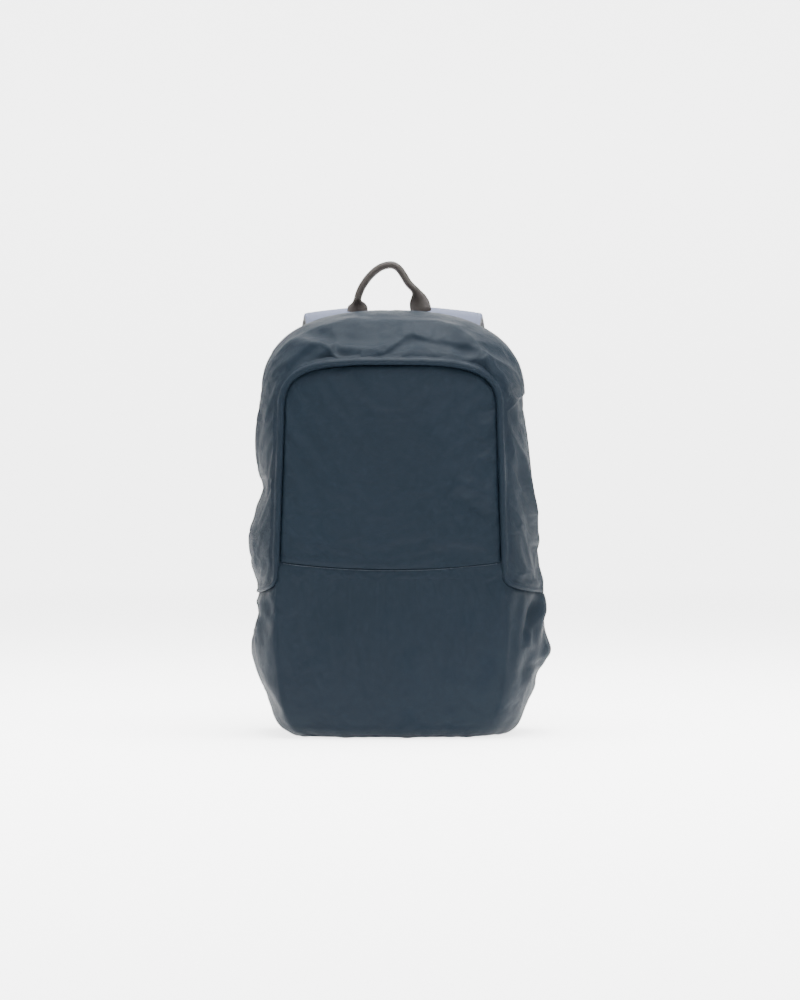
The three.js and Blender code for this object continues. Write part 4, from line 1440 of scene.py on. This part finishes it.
@dataclass
class BodyShell:
    """The fabric panels of the bag, the roll between them and their topstitching."""

    form: BagForm
    drapery: Drapery
    finishes: Finishes
    gusset_rows: int = 370
    gusset_columns: int = 56
    band_columns: int = 46
    front_columns: int = 90
    lower_rows: int = 64
    panel_rows: int = 84
    lip_rows: int = 7
    seam_points: int = 700
    seam_gap: float = 0.25
    roll_gap: float = 1.5
    hem_radius: float = 0.45
    hem_depth: float = 3.0
    floor_gap: float = 0.1
    base_wave: float = 0.45
    base_wave_top: float = 0.25
    tuck: float = 2.6
    tuck_reach: float = 2.2
    groove: float = 1.3
    groove_reach: float = 1.7
    lip_sink: float = 1.9
    lip_reach: float = 1.3
    lap: float = 0.1
    panel_tip: float = 0.9985
    corner_round: float = 7.0
    corner_near: float = 12.0
    corner_run: float = 30.0
    corner_room: float = 40.0
    roll_points: int = 460
    roll_width: float = 7.0
    roll_height: float = 3.9
    roll_past_corner: tuple[float, float] = (8.0, 22.0)
    roll_end: float = 25.0
    roll_on_side: tuple[float, float] = (0.6, 0.4)
    stitch_drop: float = 1.3
    base_points: int = 40

    def build(self) -> None:
        """Makes and dresses all of the body's pieces."""
        self._trace_seams()
        gusset, lower, panel = self._gusset(), self._lower(), self._panel()
        cloths = [gusset, lower, panel]
        for cloth in cloths:
            self.drapery.fold(cloth)
        self.drapery.settle(cloths)
        beside, facing = np.array(gusset.points), gusset.normals()
        self._sew_stitches(lower)
        for cloth in cloths:
            cloth.turn_in(self.hem_radius, self.hem_depth)
            self.finishes.mount(cloth.piece(subdivide=1), self.finishes.shell, cloth.name)
        self._roll(beside, facing)
        self._base()

    def _trace_seams(self) -> None:
        """Traces the seam from the right ridge round the front panel to the left ridge, and rounds it."""
        form = self.form
        level = np.array([1.0])
        share, turn = np.linspace(0, form.ridge_share, 60), form.turn_at(level)
        right, left = (
            form.across(form.side_guides(level, side), share, turn)[0] for side in (Side.RIGHT, Side.LEFT))
        guides, _ = form.band(1.0, 2.0)
        middle = guides[:, 0]
        self.seam = evenly(np.concatenate([right[::-1], middle[1:-1], left]), self.seam_points)
        at, first = along(self.seam), along(right)[-1]
        self.seam_corners = (first, first + along(middle)[-1])
        from_corner = [(at - corner) / self.corner_near for corner in self.seam_corners]
        near = np.max([np.exp(-(gap ** 2)) for gap in from_corner], axis=0)
        reach = int(3 * self.corner_round / at[1])
        places = np.arange(-reach, reach + 1) * at[1] / self.corner_round * 2
        rounded = evened(self.seam, np.exp(-0.5 * places ** 2))
        self.seam_shift = (rounded - self.seam) * near[:, None]

    def _rounded(self, points: Array) -> Array:
        """Moves points near the lower corners of the seam along with its rounding.

        Args:
            points: an array of points of any shape.

        Returns:
            The points, moved.
        """
        flat = points.reshape(-1, 3)
        moved, at = flat.copy(), along(self.seam)
        for corner in self.seam_corners:
            some = np.abs(at - corner) < self.corner_run
            line, shift = self.seam[some], self.seam_shift[some]
            near = np.linalg.norm(flat - line[len(line) // 2], axis=1) < self.corner_room
            gaps = np.linalg.norm(flat[near][:, None] - line[None], axis=2)
            weight = np.exp(-((gaps.min(axis=1) / self.corner_round) ** 2))
            moved[near] += shift[gaps.argmin(axis=1)] * weight[:, None]
        return moved.reshape(points.shape)

    def _gusset(self) -> Cloth:
        """Makes the side and top band.

        Returns:
            The band.
        """
        start = 1 + self.seam_gap / (self.form.shoulder - self.form.side_seam)
        guides, turns = self.form.band(start, 2.0)
        lines = np.concatenate([guides.reshape(len(guides), 9), turns[:, None]], axis=1)
        at = along(guides[:, :2].mean(axis=1))
        places = np.linspace(0, at[-1], self.gusset_rows)
        lines = np.stack([np.interp(places, at, lines[:, i]) for i in range(10)], axis=1)
        grid = self.form.across(lines[:, :9].reshape(-1, 3, 3), np.linspace(0, 1, 160), lines[:, 9])
        rows = []
        for row in grid:
            at = along(row)
            cuts = np.linspace(self.roll_gap, at[-1], self.gusset_columns)
            rows.append(np.stack([np.interp(cuts, at, row[:, i]) for i in range(3)], axis=1))
        cloth = Cloth("gusset")
        cloth.add_grid(self._rounded(np.array(rows)))
        return cloth

    def _lower(self) -> Cloth:
        """Makes the front below the pocket seam and both lower sides.

        Returns:
            The lower panel.
        """
        form, band = self.form, self.band_columns
        floor = self.hem_radius + self.floor_gap
        levels = np.linspace(floor / form.side_seam, 1 - self.seam_gap / form.side_seam, self.lower_rows)
        left, right = form.side_guides(levels, Side.LEFT), form.side_guides(levels, Side.RIGHT)
        turns, share = form.turn_at(levels), np.linspace(0, 1, 120)
        left_band = form.across(left, share, turns)[:, ::-1]
        right_band = form.across(right, share, turns)
        rows = []
        for i in range(len(levels)):
            front = np.linspace(left[i, 0, 0], right[i, 0, 0], self.front_columns)
            height = np.full_like(front, left[i, 0, 2])
            front = np.stack([front, form.front_y(front, height), height], axis=1)
            ends = evenly(left_band[i], band), evenly(right_band[i], band)
            rows.append(np.concatenate([ends[0], front[1:-1], ends[1]]))
        grid = np.array(rows)
        side = np.ones(grid.shape[1])
        side[band:-band] = 0
        sunk = self.tuck * np.exp(-(grid[-1:, :, 2] - grid[:, :, 2]) / self.tuck_reach) * side
        grid = grid - grid_normals(grid) * sunk[..., None]
        wave = self.base_wave * ripple(along(grid[0]), BASE_WAVES)
        grid[:, :, 2] += wave * (1 - smooth(levels, 0, self.base_wave_top))[:, None]
        cloth = Cloth("lower_panel")
        cloth.add_grid(self._rounded(grid))
        lip = self._rounded(self._lip(grid[-1, band - 1:band + self.front_columns - 1]))
        cloth.add_grid(lip)
        self.pocket_line = lip[-1]
        return cloth

    def _lip(self, foot: Array) -> Array:
        """Makes the rows of the lower panel that reach up to the pocket seam.

        Args:
            foot: the points that they start from.

        Returns:
            The rows of points, the last one at the seam.
        """
        form, count = self.form, self.lip_rows
        x = np.broadcast_to(foot[:, 0], (count, len(foot)))
        seam = form.pocket_seam(foot[:, 0])
        z = mix(foot[:, 2], seam - self.seam_gap - self.hem_radius, np.linspace(0, 1, count)[:, None])
        sunk = self.lip_sink * np.exp(-(seam - z) / self.lip_reach)
        return np.stack([x, form.front_y(x, z) + sunk, z], axis=2)

    def _panel(self) -> Cloth:
        """Makes the front panel, which tucks under the roll along its edges.

        Returns:
            The panel.
        """
        form = self.form
        rise = np.linspace(0, 1, self.panel_rows)[:, None]
        share = np.linspace(-1, 1, self.front_columns)[None, :]
        top = form.panel_top - self.seam_gap
        low = form.pocket_seam(form.panel_shift + share * form.panel_half_foot)
        z = mix(low - self.lap, top, rise)
        up = np.clip((z - form.panel_shoulder) / (top - form.panel_shoulder), 0, self.panel_tip)
        narrow = (1 - up ** form.panel_squareness) ** (1 / form.panel_squareness)
        x = form.panel_shift + share * ((form.front_half(z) - self.seam_gap) * narrow)
        grid = np.stack([x, form.front_y(x, z), z], axis=2)
        flat = grid.reshape(-1, 3)
        edge, _, _ = line_distance(flat, self.drapery.roll_line)
        flat[:, 1] += self.groove * np.exp(-(edge - self.roll_width / 2) / self.groove_reach)
        cloth = Cloth("front_panel")
        cloth.add_grid(flat.reshape(grid.shape))
        return cloth

    def _roll(self, beside: Array, facing: Array) -> None:
        """Makes the raised roll round the front panel, which runs out into the side seams.

        Args:
            beside: points of the gusset.
            facing: its normals there, which the roll follows.
        """
        line = evenly(self.seam + self.seam_shift, self.roll_points)
        at = along(line)
        (first, last), (before, after) = self.seam_corners, self.roll_past_corner
        in_front = smooth(at, first - before, first + after) * (1 - smooth(at, last - after, last + before))
        side = 1 - in_front
        gaps = np.linalg.norm(line[:, None] - beside[None], axis=2)
        normals = unit(evened(facing[gaps.argmin(axis=1)], np.hanning(25)))
        forward = normals + np.array([0, -1.0, 0]) * (1 - side)[:, None]
        way = unit(np.gradient(line, axis=0))
        out = unit(forward - way * (forward * way).sum(axis=1, keepdims=True))
        ends = smooth(at, 0, self.roll_end) * smooth(at[-1] - at, 0, self.roll_end)
        width, size = (mix(1.0, narrow, side) for narrow in self.roll_on_side)
        size = size * (0.25 + 0.75 * ends)
        plump = 1 + ripple(at, ROLL_WAVES)
        wider, higher = self.roll_width / ROLL_DRAWN[0], self.roll_height / ROLL_DRAWN[1]
        section = [(
            a * wider * width * (plump if a < 0 else 1.0),
            h * higher * (size * plump if h > 0 else 0.5 + 0.5 * size)) for a, h in ROLL_SECTION]
        cloth = Cloth("edge_roll")
        cloth.add_grid(swept(line, np.cross(out, way), out, section))
        self.finishes.mount(cloth.piece(subdivide=1), self.finishes.shell, "edge_roll")

    def _sew_stitches(self, lower: Cloth) -> None:
        """Sews the topstitching below the pocket seam.

        Args:
            lower: the lower panel as it is draped.
        """
        points, normals = np.array(lower.points), lower.normals()
        line = self.pocket_line[3:-3] - np.array([0, 0, self.stitch_drop])
        gaps = np.linalg.norm(line[:, None] - points[None], axis=2)
        order = np.argsort(gaps, axis=1)[:, :3]
        weights = 1 / np.maximum(np.take_along_axis(gaps, order, axis=1), 0.05)
        weights /= weights.sum(axis=1, keepdims=True)
        ways = unit((normals[order] * weights[..., None]).sum(axis=1))
        off = ((points[order] - line[:, None]) * ways[:, None]).sum(axis=2)
        line = line + ways * (off * weights).sum(axis=1)[:, None]
        Stitching(self.finishes).sew("pocket_stitches", [(line, ways)])

    def _base(self) -> None:
        """Makes the flat bottom inside the foot of the lower panel."""
        form, count = self.form, self.base_points
        level = np.array([0.02])
        left, right = form.side_guides(level, Side.LEFT), form.side_guides(level, Side.RIGHT)
        share, turn = np.linspace(0, 1, count), form.turn_at(level)
        x = np.linspace(left[0, 0, 0], right[0, 0, 0], count)
        front = np.stack([x, form.front_y(x, np.full_like(x, left[0, 0, 2])), 0 * x], axis=1)
        loop = np.concatenate([
            form.across(left, share, turn)[0][::-1], front[1:-1], form.across(right, share, turn)[0]])
        loop = evenly(np.concatenate([loop, loop[:1]]), 3 * count + 1)[:-1]
        loop[:, 2] = 0
        centre = loop.mean(axis=0)
        rings = [centre + (loop - centre) * share + np.array([0, 0, z]) for share, z in BASE_RINGS]
        rings = np.array(rings)[:, ::-1]
        cloth = Cloth("base_panel")
        cloth.add_cap(cloth.add_grid(rings, rings[:, :, :2], closed=True)[-1])
        self.finishes.mount(cloth.piece(), self.finishes.shell, "base_panel")


# The back

BORDER_SECTION = (
    (-0.02, -4.0), (0.0, -1.2), (0.04, 0.0), (0.3, 0.35), (0.7, 0.35), (1.0, 0.0), (1.06, -3.0),
)
PAD_RINGS = (1.0, 1.0, 0.995, 0.985, 0.965, 0.94, *np.linspace(0.9, 0.03, 46))
TAPE_SECTION = mirrored([(-5.6, -1.1), (-5.2, -0.35), (-1.0, -0.3)])
TOOTH_RINGS = ((-1.1, 0.1, 0.42), (-0.6, 0.35, 0.55), (1.2, 0.3, 0.5), (2.3, -0.25, 0.42))


@dataclass
class BackPanel:
    """The padded back, its border and the zip hidden along it."""

    form: BagForm
    finishes: Finishes
    border_width: float = 14.0
    rim_inset: float = 2.2
    rim_foot: float = 3.0
    rim_corner: float = 6.0
    pad_gap: float = 0.35
    pad_foot: float = 88.0
    pad_corner: float = 18.0
    pad_height: float = 8.2
    pad_root: float = 4.0
    pad_reach: float = 150.0
    pad_edge: float = 9.0
    pad_edge_power: float = 2.2
    pad_middle: float = 245.0
    channel_depth: float = 4.6
    channel_width: float = 7.0
    channel_start: float = 8.0
    channels_upright: tuple[float, float] = (-36.0, 36.0)
    channel_spread: float = 0.0006
    channel_across: float = 176.0
    channel_bow: float = 0.0009
    zip_end: float = 112.0
    zip_lift: float = 0.35
    tooth_pitch: float = 1.7
    tooth_flatness: float = 0.85
    coil_height: float = 1.8

    def build(self) -> None:
        """Makes and dresses all of the back's pieces."""
        self._border()
        self._pad()
        self._zip()

    def outline(self, inset: float, foot: float, corner: float, count: int) -> Array:
        """Traces the rim of the flat back as a closed loop that turns left from its foot.

        Args:
            inset: how far inside the rim.
            foot: height of its lower edge.
            corner: radius of its lower corners.
            count: number of points.

        Returns:
            The x and z of each point.
        """
        levels = np.linspace(0.02, 2, 160, endpoint=False)
        right, left = (self.form.side_guides(levels, side)[:, 2] for side in (Side.RIGHT, Side.LEFT))
        dome = self.form.dome_guides(np.linspace(1, 0, 240))[:, 2]
        rim = np.concatenate([right, dome, left[::-1]])[:, [0, 2]]
        way = unit(np.gradient(rim, axis=0))
        inner = rim + np.stack([-way[:, 1], way[:, 0]], axis=1) * inset
        inner = inner[inner[:, 1] > foot + corner]
        angles = np.linspace(0, math.pi / 2, 12)[1:]
        in_by, down_to = corner * (1 - np.cos(angles)), foot + corner * (1 - np.sin(angles))
        down = np.stack([inner[-1, 0] + in_by, down_to], axis=1)
        up = np.stack([inner[0, 0] - in_by, down_to], axis=1)[::-1]
        return evenly(np.concatenate([inner, down, up, inner[:1]]), count + 1)[:-1]

    def _border(self) -> None:
        """Makes the fabric border round the pad."""
        outer = self.outline(self.rim_inset, self.rim_foot, self.rim_corner, 300)
        inner = self.outline(self.border_width, self.pad_foot, self.pad_corner, 300)
        face = self.form.back_depth
        rings = np.array([
            np.insert(mix(outer, inner, share), 1, face + depth, axis=1)
            for share, depth in BORDER_SECTION])
        cloth = Cloth("zip_border")
        cloth.add_grid(rings[:, ::-1], rings[:, ::-1][:, :, [0, 2]], closed=True)
        self.finishes.mount(cloth.piece(subdivide=1), self.finishes.shell, "zip_border")

    def _pad(self) -> None:
        """Makes the padded back, quilted by two upright channels and one across."""
        outline = self.outline(self.border_width + self.pad_gap, self.pad_foot, self.pad_corner, 260)
        centre = np.array([0.0, self.pad_middle])
        rings = []
        for share in PAD_RINGS:
            place, edge = centre + (outline - centre) * share, (1 - share) * self.pad_reach
            fall = self.pad_edge * (1 - min(edge / self.pad_edge, 1.0)) ** self.pad_edge_power
            depth = self.form.back_depth + self.pad_height - fall - self._channels(place, edge)
            rings.append(np.stack([place[:, 0], depth, place[:, 1]], axis=1))
        rings[0][:, 1] = self.form.back_depth - self.pad_root
        grid = np.array(rings)[:, ::-1]
        cloth = Cloth("back_pad")
        cloth.add_cap(cloth.add_grid(grid, grid[:, :, [0, 2]], closed=True)[-1])
        self.finishes.mount(cloth.piece(), self.finishes.mesh, "back_pad")

    def _channels(self, place: Array, edge: float) -> Array:
        """Works out how deep the quilted channels are.

        Args:
            place: x and z of points on the pad.
            edge: how far they are from its edge, where the channels run out.

        Returns:
            The depth at each point.
        """
        x, z = place.T
        spread = 1 + self.channel_spread * (z - self.pad_middle)
        gaps = [x - upright * spread for upright in self.channels_upright]
        gaps.append(z - self.channel_across - self.channel_bow * x ** 2)
        dip = sum(np.exp(-((gap / self.channel_width) ** 2)) for gap in gaps)
        return self.channel_depth * dip * min(1, edge / self.channel_start)

    def _zip(self) -> None:
        """Makes the zip's tapes and its coil of teeth."""
        loop = self.outline(self.border_width / 2, self.rim_foot, self.rim_corner, 900)
        line = evenly(loop[loop[:, 1] > self.zip_end], 900)
        height = self.form.back_depth + self.zip_lift + self.coil_height / 2
        points = np.insert(line, 1, height, axis=1)
        up = np.array([0, 1.0, 0])
        side = np.cross(unit(np.gradient(points, axis=0)), up)
        tape = Cloth("zip_tape")
        tape.add_grid(swept(points, side, up, TAPE_SECTION)[:, ::-1])
        self.finishes.mount(tape.piece(), self.finishes.webbing)
        coil = Cloth("zip_coil")
        spots = evenly(np.concatenate([points, side], axis=1), int(along(points)[-1] / self.tooth_pitch))
        ways = unit(np.gradient(spots[:, :3], axis=0))
        for number, (spot, way) in enumerate(zip(spots, ways)):
            hand = 1 if number % 2 else -1
            across = unit(spot[3:]) * hand
            tooth = np.array([
                ring(spot[:3] + across * a + up * h, way * self.tooth_flatness * size, up * size)
                for a, h, size in TOOTH_RINGS])
            coil.add_tube(tooth if hand > 0 else tooth[:, ::-1])
        self.finishes.mount(coil.piece(), self.finishes.coil, "zip_coil")


# Softened copies of hard and flat pieces

def softened(node: str, bevel: float, levels: int) -> bpy.types.Object:
    """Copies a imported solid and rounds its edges.

    Args:
        node: the solid's name.
        bevel: radius of its edges, in millimetres.
        levels: levels of subdivision that smooth its curves.

    Returns:
        The copy.
    """
    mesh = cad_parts[node].data.copy()
    mesh.name = node
    piece = bpy.data.objects.new(f"{node}_shown", mesh)
    bpy.context.scene.collection.objects.link(piece)
    weld = piece.modifiers.new("Weld", "WELD")
    weld.merge_threshold = 0.02 * MM
    flat = piece.modifiers.new("Flat", "DECIMATE")
    flat.decimate_type = "DISSOLVE"
    flat.angle_limit = math.radians(1.0)
    edges = piece.modifiers.new("Edges", "BEVEL")
    edges.width = bevel * MM
    edges.segments = 2 if levels else 3
    edges.limit_method = "ANGLE"
    edges.angle_limit = math.radians(50)
    applied(piece)
    if levels:
        subdivided(piece, levels)
    for layer in list(piece.data.uv_layers):
        piece.data.uv_layers.remove(layer)
    layer = piece.data.uv_layers.new(name=WEAVE_UV)
    for loop in piece.data.loops:
        place = piece.data.vertices[loop.vertex_index].co
        layer.data[loop.index].uv = (place.x, place.z + place.y)
    piece.data.shade_smooth()
    return piece


# Straps

# x, out, z, width, thickness and tilt along a strap, as shares of the values in CarryStraps
STRAP_ROWS = [
    (0.34, 0.27, 0.885, 0.9, 0.5, 0.6), (0.36, 0.28, 0.93, 0.96, 0.7, 0.9),
    (0.385, 0.36, 0.974, 1.0, 0.9, 1.0), (0.405, 0.62, 1.003, 1.0, 1.0, 1.0),
    (0.42, 0.88, 0.98, 1.0, 1.0, 1.0), (0.435, 1.0, 0.93, 1.0, 1.0, 0.85),
    (0.475, 1.02, 0.85, 0.99, 1.0, 0.5), (0.53, 0.96, 0.74, 0.95, 1.0, 0.15),
    (0.58, 0.86, 0.63, 0.86, 1.0, 0.0), (0.615, 0.76, 0.53, 0.7, 0.95, 0.0),
    (0.63, 0.68, 0.46, 0.54, 0.8, 0.0),
]
# A strap's outer skin: shares of its half width and half thickness, pinched along both bound edges
STRAP_SECTION = mirrored([
    (-0.86, 0.9), (-0.955, 0.8), (-0.99, 0.35), (-1.0, -0.15), (-0.985, -0.62), (-0.94, -0.88),
    (-0.86, -0.8), (-0.8, -0.93), (-0.5, -1.02),
], [(0.0, -1.05)])
# Its lining: the same two shares, and the share of the lining's own thickness
LINING_SECTION = mirrored([
    (-0.97, 0.2, 0.0), (-1.02, 0.6, 0.0), (-1.02, 1.0, 0.25), (-0.93, 1.0, 0.7), (-0.7, 1.0, 0.95),
], [(0.0, 1.0, 1.06)])


@dataclass
class CarryStraps:
    """The two shoulder straps with their mesh lining, locks, webbing and tabs."""

    form: BagForm
    finishes: Finishes
    pad_face: float = 70.2
    standoff: float = 34.0
    tilt: float = 6.0
    width: float = 66.0
    thickness: float = 8.0
    lining: float = 3.4
    lining_seat: float = 0.9
    seam: tuple[float, float] = (0.86, 0.85)
    steps: int = 120

    def build(self) -> None:
        """Makes and dresses the pieces of both straps."""
        for side in Side:
            self._strap(side)
            self._webbing(side)

    def _run(self, side: Side) -> tuple[Array, Array, Array, Array, Array]:
        """Lays out one strap.

        Args:
            side: the strap's side.

        Returns:
            Its centre line, the directions across and out of it, and half its width and thickness.
        """
        names = ("x", "out", "z", "width", "thickness", "tilt")
        table = dict(zip(names, np.array(STRAP_ROWS).T))
        control = np.stack([
            side.value * table["x"] * self.form.half_width, self.pad_face + table["out"] * self.standoff,
            table["z"] * self.form.height], axis=1)
        line, read = guided(control, {name: table[name] for name in names[3:]}, self.steps)
        lean = side.value * math.radians(self.tilt) * read["tilt"]
        across = np.stack([np.cos(lean), 0 * lean, -np.sin(lean)], axis=1)
        out = unit(np.cross(unit(np.gradient(line, axis=0)), across))
        return line, across, out, self.width * read["width"] / 2, self.thickness * read["thickness"] / 2

    def _strap(self, side: Side) -> None:
        """Makes one padded strap, its lining and its topstitching.

        Args:
            side: the strap's side.
        """
        line, across, out, half, deep = self._run(side)
        skin = swept(line, across, out, [(a * half, h * deep) for a, h in STRAP_SECTION])
        lining = swept(line, across, out, [
            (a * half, h * deep * self.lining_seat + rise * self.lining) for a, h, rise in LINING_SECTION])
        for word, grid, finish, fill in (
            (f"strap_{side.word}", skin, self.finishes.strap, 0.7),
            (f"strap_mesh_{side.word}", lining[::-1, ::-1], self.finishes.mesh, 0.5),
        ):
            cloth = Cloth(f"{word}_shown")
            cloth.add_tube(grid, closed=False)
            self.finishes.mount(cloth.piece(subdivide=1), finish, word)
        aside, down = (self.seam[0] * half)[:, None], (self.seam[1] * deep)[:, None]
        edges = [line + across * hand * aside - out * down for hand in (-1, 1)]
        runs = [(edge[2:-2], -out[2:-2]) for edge in edges]
        Stitching(self.finishes).sew(f"strap_stitches_{side.word}", runs)

    def _webbing(self, side: Side) -> None:
        """Dresses one side's loop, lock, webbing and tab.

        Args:
            side: the side.
        """
        for word, bevel, levels, finish in (
            ("lock_loop", 0.45, 2, self.finishes.webbing),
            ("ladder_lock", 0.9, 0, self.finishes.plastic),
            ("webbing", 0.4, 2, self.finishes.webbing),
            ("tab", 0.8, 0, self.finishes.shell),
        ):
            node = f"{word}_{side.word}"
            self.finishes.mount(softened(node, bevel, levels), finish, node)


# Handle

# x as a share of half its span, z as a share of its rise, and 1 where the webbing is flat
HANDLE_ROWS = [
    (-0.97, 0.0, 1.0), (-0.965, 0.12, 0.93), (-0.965, 0.185, 0.62), (-0.972, 0.235, 0.13),
    (-0.965, 0.29, 0.0), (-0.915, 0.41, 0.0), (-0.81, 0.565, 0.0), (-0.58, 0.78, 0.0),
    (-0.28, 0.945, 0.0), (0.04, 1.0, 0.0), (0.26, 0.935, 0.0), (0.42, 0.79, 0.0), (0.56, 0.63, 0.0),
    (0.7, 0.525, 0.0), (0.795, 0.45, 0.1), (0.86, 0.34, 0.56), (0.905, 0.2, 0.94), (0.94, 0.08, 1.0),
    (0.955, 0.0, 1.0),
]


@dataclass
class GrabHandle:
    """The webbing handle: flat at its feet and folded in half along the grip."""

    form: BagForm
    finishes: Finishes
    half_span: float = 33.7
    shift: float = -3.7
    set_back: float = 20.0
    rise: float = 47.0
    foot: float = 424.4
    width: float = 21.5
    thickness: float = 2.0
    fold_angle: float = 86.0
    fold_width: float = 3.6
    fold_points: int = 13
    steps: int = 130

    def build(self) -> None:
        """Makes and dresses the handle."""
        x, z, flat = np.array(HANDLE_ROWS).T
        y = self.form.back_depth - self.form.crest_inset + self.set_back
        control = np.stack([
            self.shift + x * self.half_span, np.full(len(x), y),
            mix(self.foot, self.form.height + self.rise, z)], axis=1)
        line, read = guided(control, {"flat": flat}, self.steps)
        back = np.array([0, 1.0, 0])
        across = unit(np.cross(back, unit(np.gradient(line, axis=0))))
        rows = [
            self._section(centre, aside, back, float(share))
            for centre, aside, share in zip(line, across, np.clip(read["flat"], 0, 1))]
        cloth = Cloth("handle_shown")
        cloth.add_tube(np.array(rows)[::-1])
        self.finishes.mount(cloth.piece(subdivide=1), self.finishes.handle, "handle")

    def _section(self, centre: Array, across: Array, back: Array, flat: float) -> Array:
        """Outlines the webbing's section, bent back over itself where it is folded.

        Args:
            centre: the middle of the grip.
            across: direction across the handle in the front view.
            back: direction away from the viewer.
            flat: 1 where the webbing is flat and 0 where it is folded.

        Returns:
            The points of the outline.
        """
        turn = math.acos(mix(math.cos(math.radians(self.fold_angle)), 1.0, flat))
        places = np.linspace(-1, 1, self.fold_points) * self.width / 2
        angle = turn * smooth(np.abs(places), 0.0, self.fold_width) * np.sign(places)
        steps, middle = np.diff(places), (angle[1:] + angle[:-1]) / 2
        x = np.concatenate([[0], np.cumsum(np.cos(middle) * steps)])
        depth = np.concatenate([[0], np.cumsum(np.sin(middle) * steps)])
        x -= (x[0] + x[-1]) / 2
        depth = depth - depth[self.fold_points // 2] - mix(self.width / 4, 0.0, flat)
        face = np.stack([x, depth], axis=1)
        normal = np.stack([-np.sin(angle), np.cos(angle)], axis=1) * self.thickness / 2
        loop = np.concatenate([face - normal, (face + normal)[::-1]])
        return centre + loop[:, :1] * across + loop[:, 1:] * back


# Studio

# name, place, target, edge and power in watts
LIGHTS = (
    ("overhead", (100, -130, 1750), (0, 0, 330), 1500, 160.0),
    ("front", (-300, -2700, 1300), (0, 0, 250), 1500, 2.0),
    ("left", (-1700, -900, 900), (0, 0, 260), 1000, 1.5),
    ("right", (1700, -900, 1000), (0, 0, 260), 1000, 3.5),
    ("rear", (0, 1900, 1500), (0, 50, 260), 1300, 3.0),
)


@dataclass
class Studio:
    """A pale seamless ground with soft light from above."""

    camera: Camera
    radius: float = 4500.0
    sweep: float = 1400.0
    wall: float = 5200.0
    drop: float = 0.2
    rings: tuple[float, ...] = (60.0, 400.0, 1200.0, 2200.0)
    air: float = 0.3

    def build(self) -> None:
        """Makes the ground, the lights and the air."""
        self.camera.install()
        self._ground()
        for light in LIGHTS:
            self._light(*light)
        world = bpy.data.worlds.new("studio_air")
        world.use_nodes = True
        world.node_tree.nodes["Background"].inputs[0].default_value = (1.0, 1.0, 1.0, 1.0)
        world.node_tree.nodes["Background"].inputs[1].default_value = self.air
        bpy.context.scene.world = world

    def _ground(self) -> None:
        """Makes the floor, which sweeps up into a wall all round the bag."""
        angles = np.linspace(0, math.pi / 2, 24)
        profile = [(reach, 0.0) for reach in self.rings]
        profile += [
            (self.radius + self.sweep * math.sin(a), self.sweep * (1 - math.cos(a))) for a in angles]
        profile.append((self.radius + self.sweep, self.wall))
        turns = np.linspace(0, 2 * math.pi, 96, endpoint=False)
        grid = np.array([
            [(reach * math.cos(t), reach * math.sin(t), z - self.drop) for t in turns]
            for reach, z in profile])
        paper = Cloth("seamless_ground")
        paper.add_cap(paper.add_grid(grid[:, ::-1], closed=True)[0])
        piece = paper.piece()
        piece.data.materials.append(StudioPaper().material())

    def _light(self, name: str, place: Sequence, target: Sequence, size: float, power: float) -> None:
        """Adds a square soft light.

        Args:
            name: its name.
            place: where it stands.
            target: what it points at.
            size: its edge.
            power: its power in watts.
        """
        data = bpy.data.lights.new(name, "AREA")
        data.size = size * MM
        data.energy = power
        light = bpy.data.objects.new(name, data)
        light.location = Vector(place) * MM
        way = Vector(target) - Vector(place)
        light.rotation_euler = way.to_track_quat("-Z", "Y").to_euler()
        bpy.context.scene.collection.objects.link(light)


def main() -> None:
    """Builds the bag and its studio."""
    logging.basicConfig(level=logging.INFO, format="%(name)s %(message)s")
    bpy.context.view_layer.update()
    camera, form, finishes = Camera(), BagForm(), Finishes()
    Studio(camera).build()
    BodyShell(form, Drapery(form, camera), finishes).build()
    BackPanel(form, finishes).build()
    CarryStraps(form, finishes).build()
    GrabHandle(form, finishes).build()
    for node in ("zip_slider", "zip_pull"):
        finishes.mount(softened(node, 0.5, 0), finishes.metal, node)


if __name__ == "__main__":
    main()
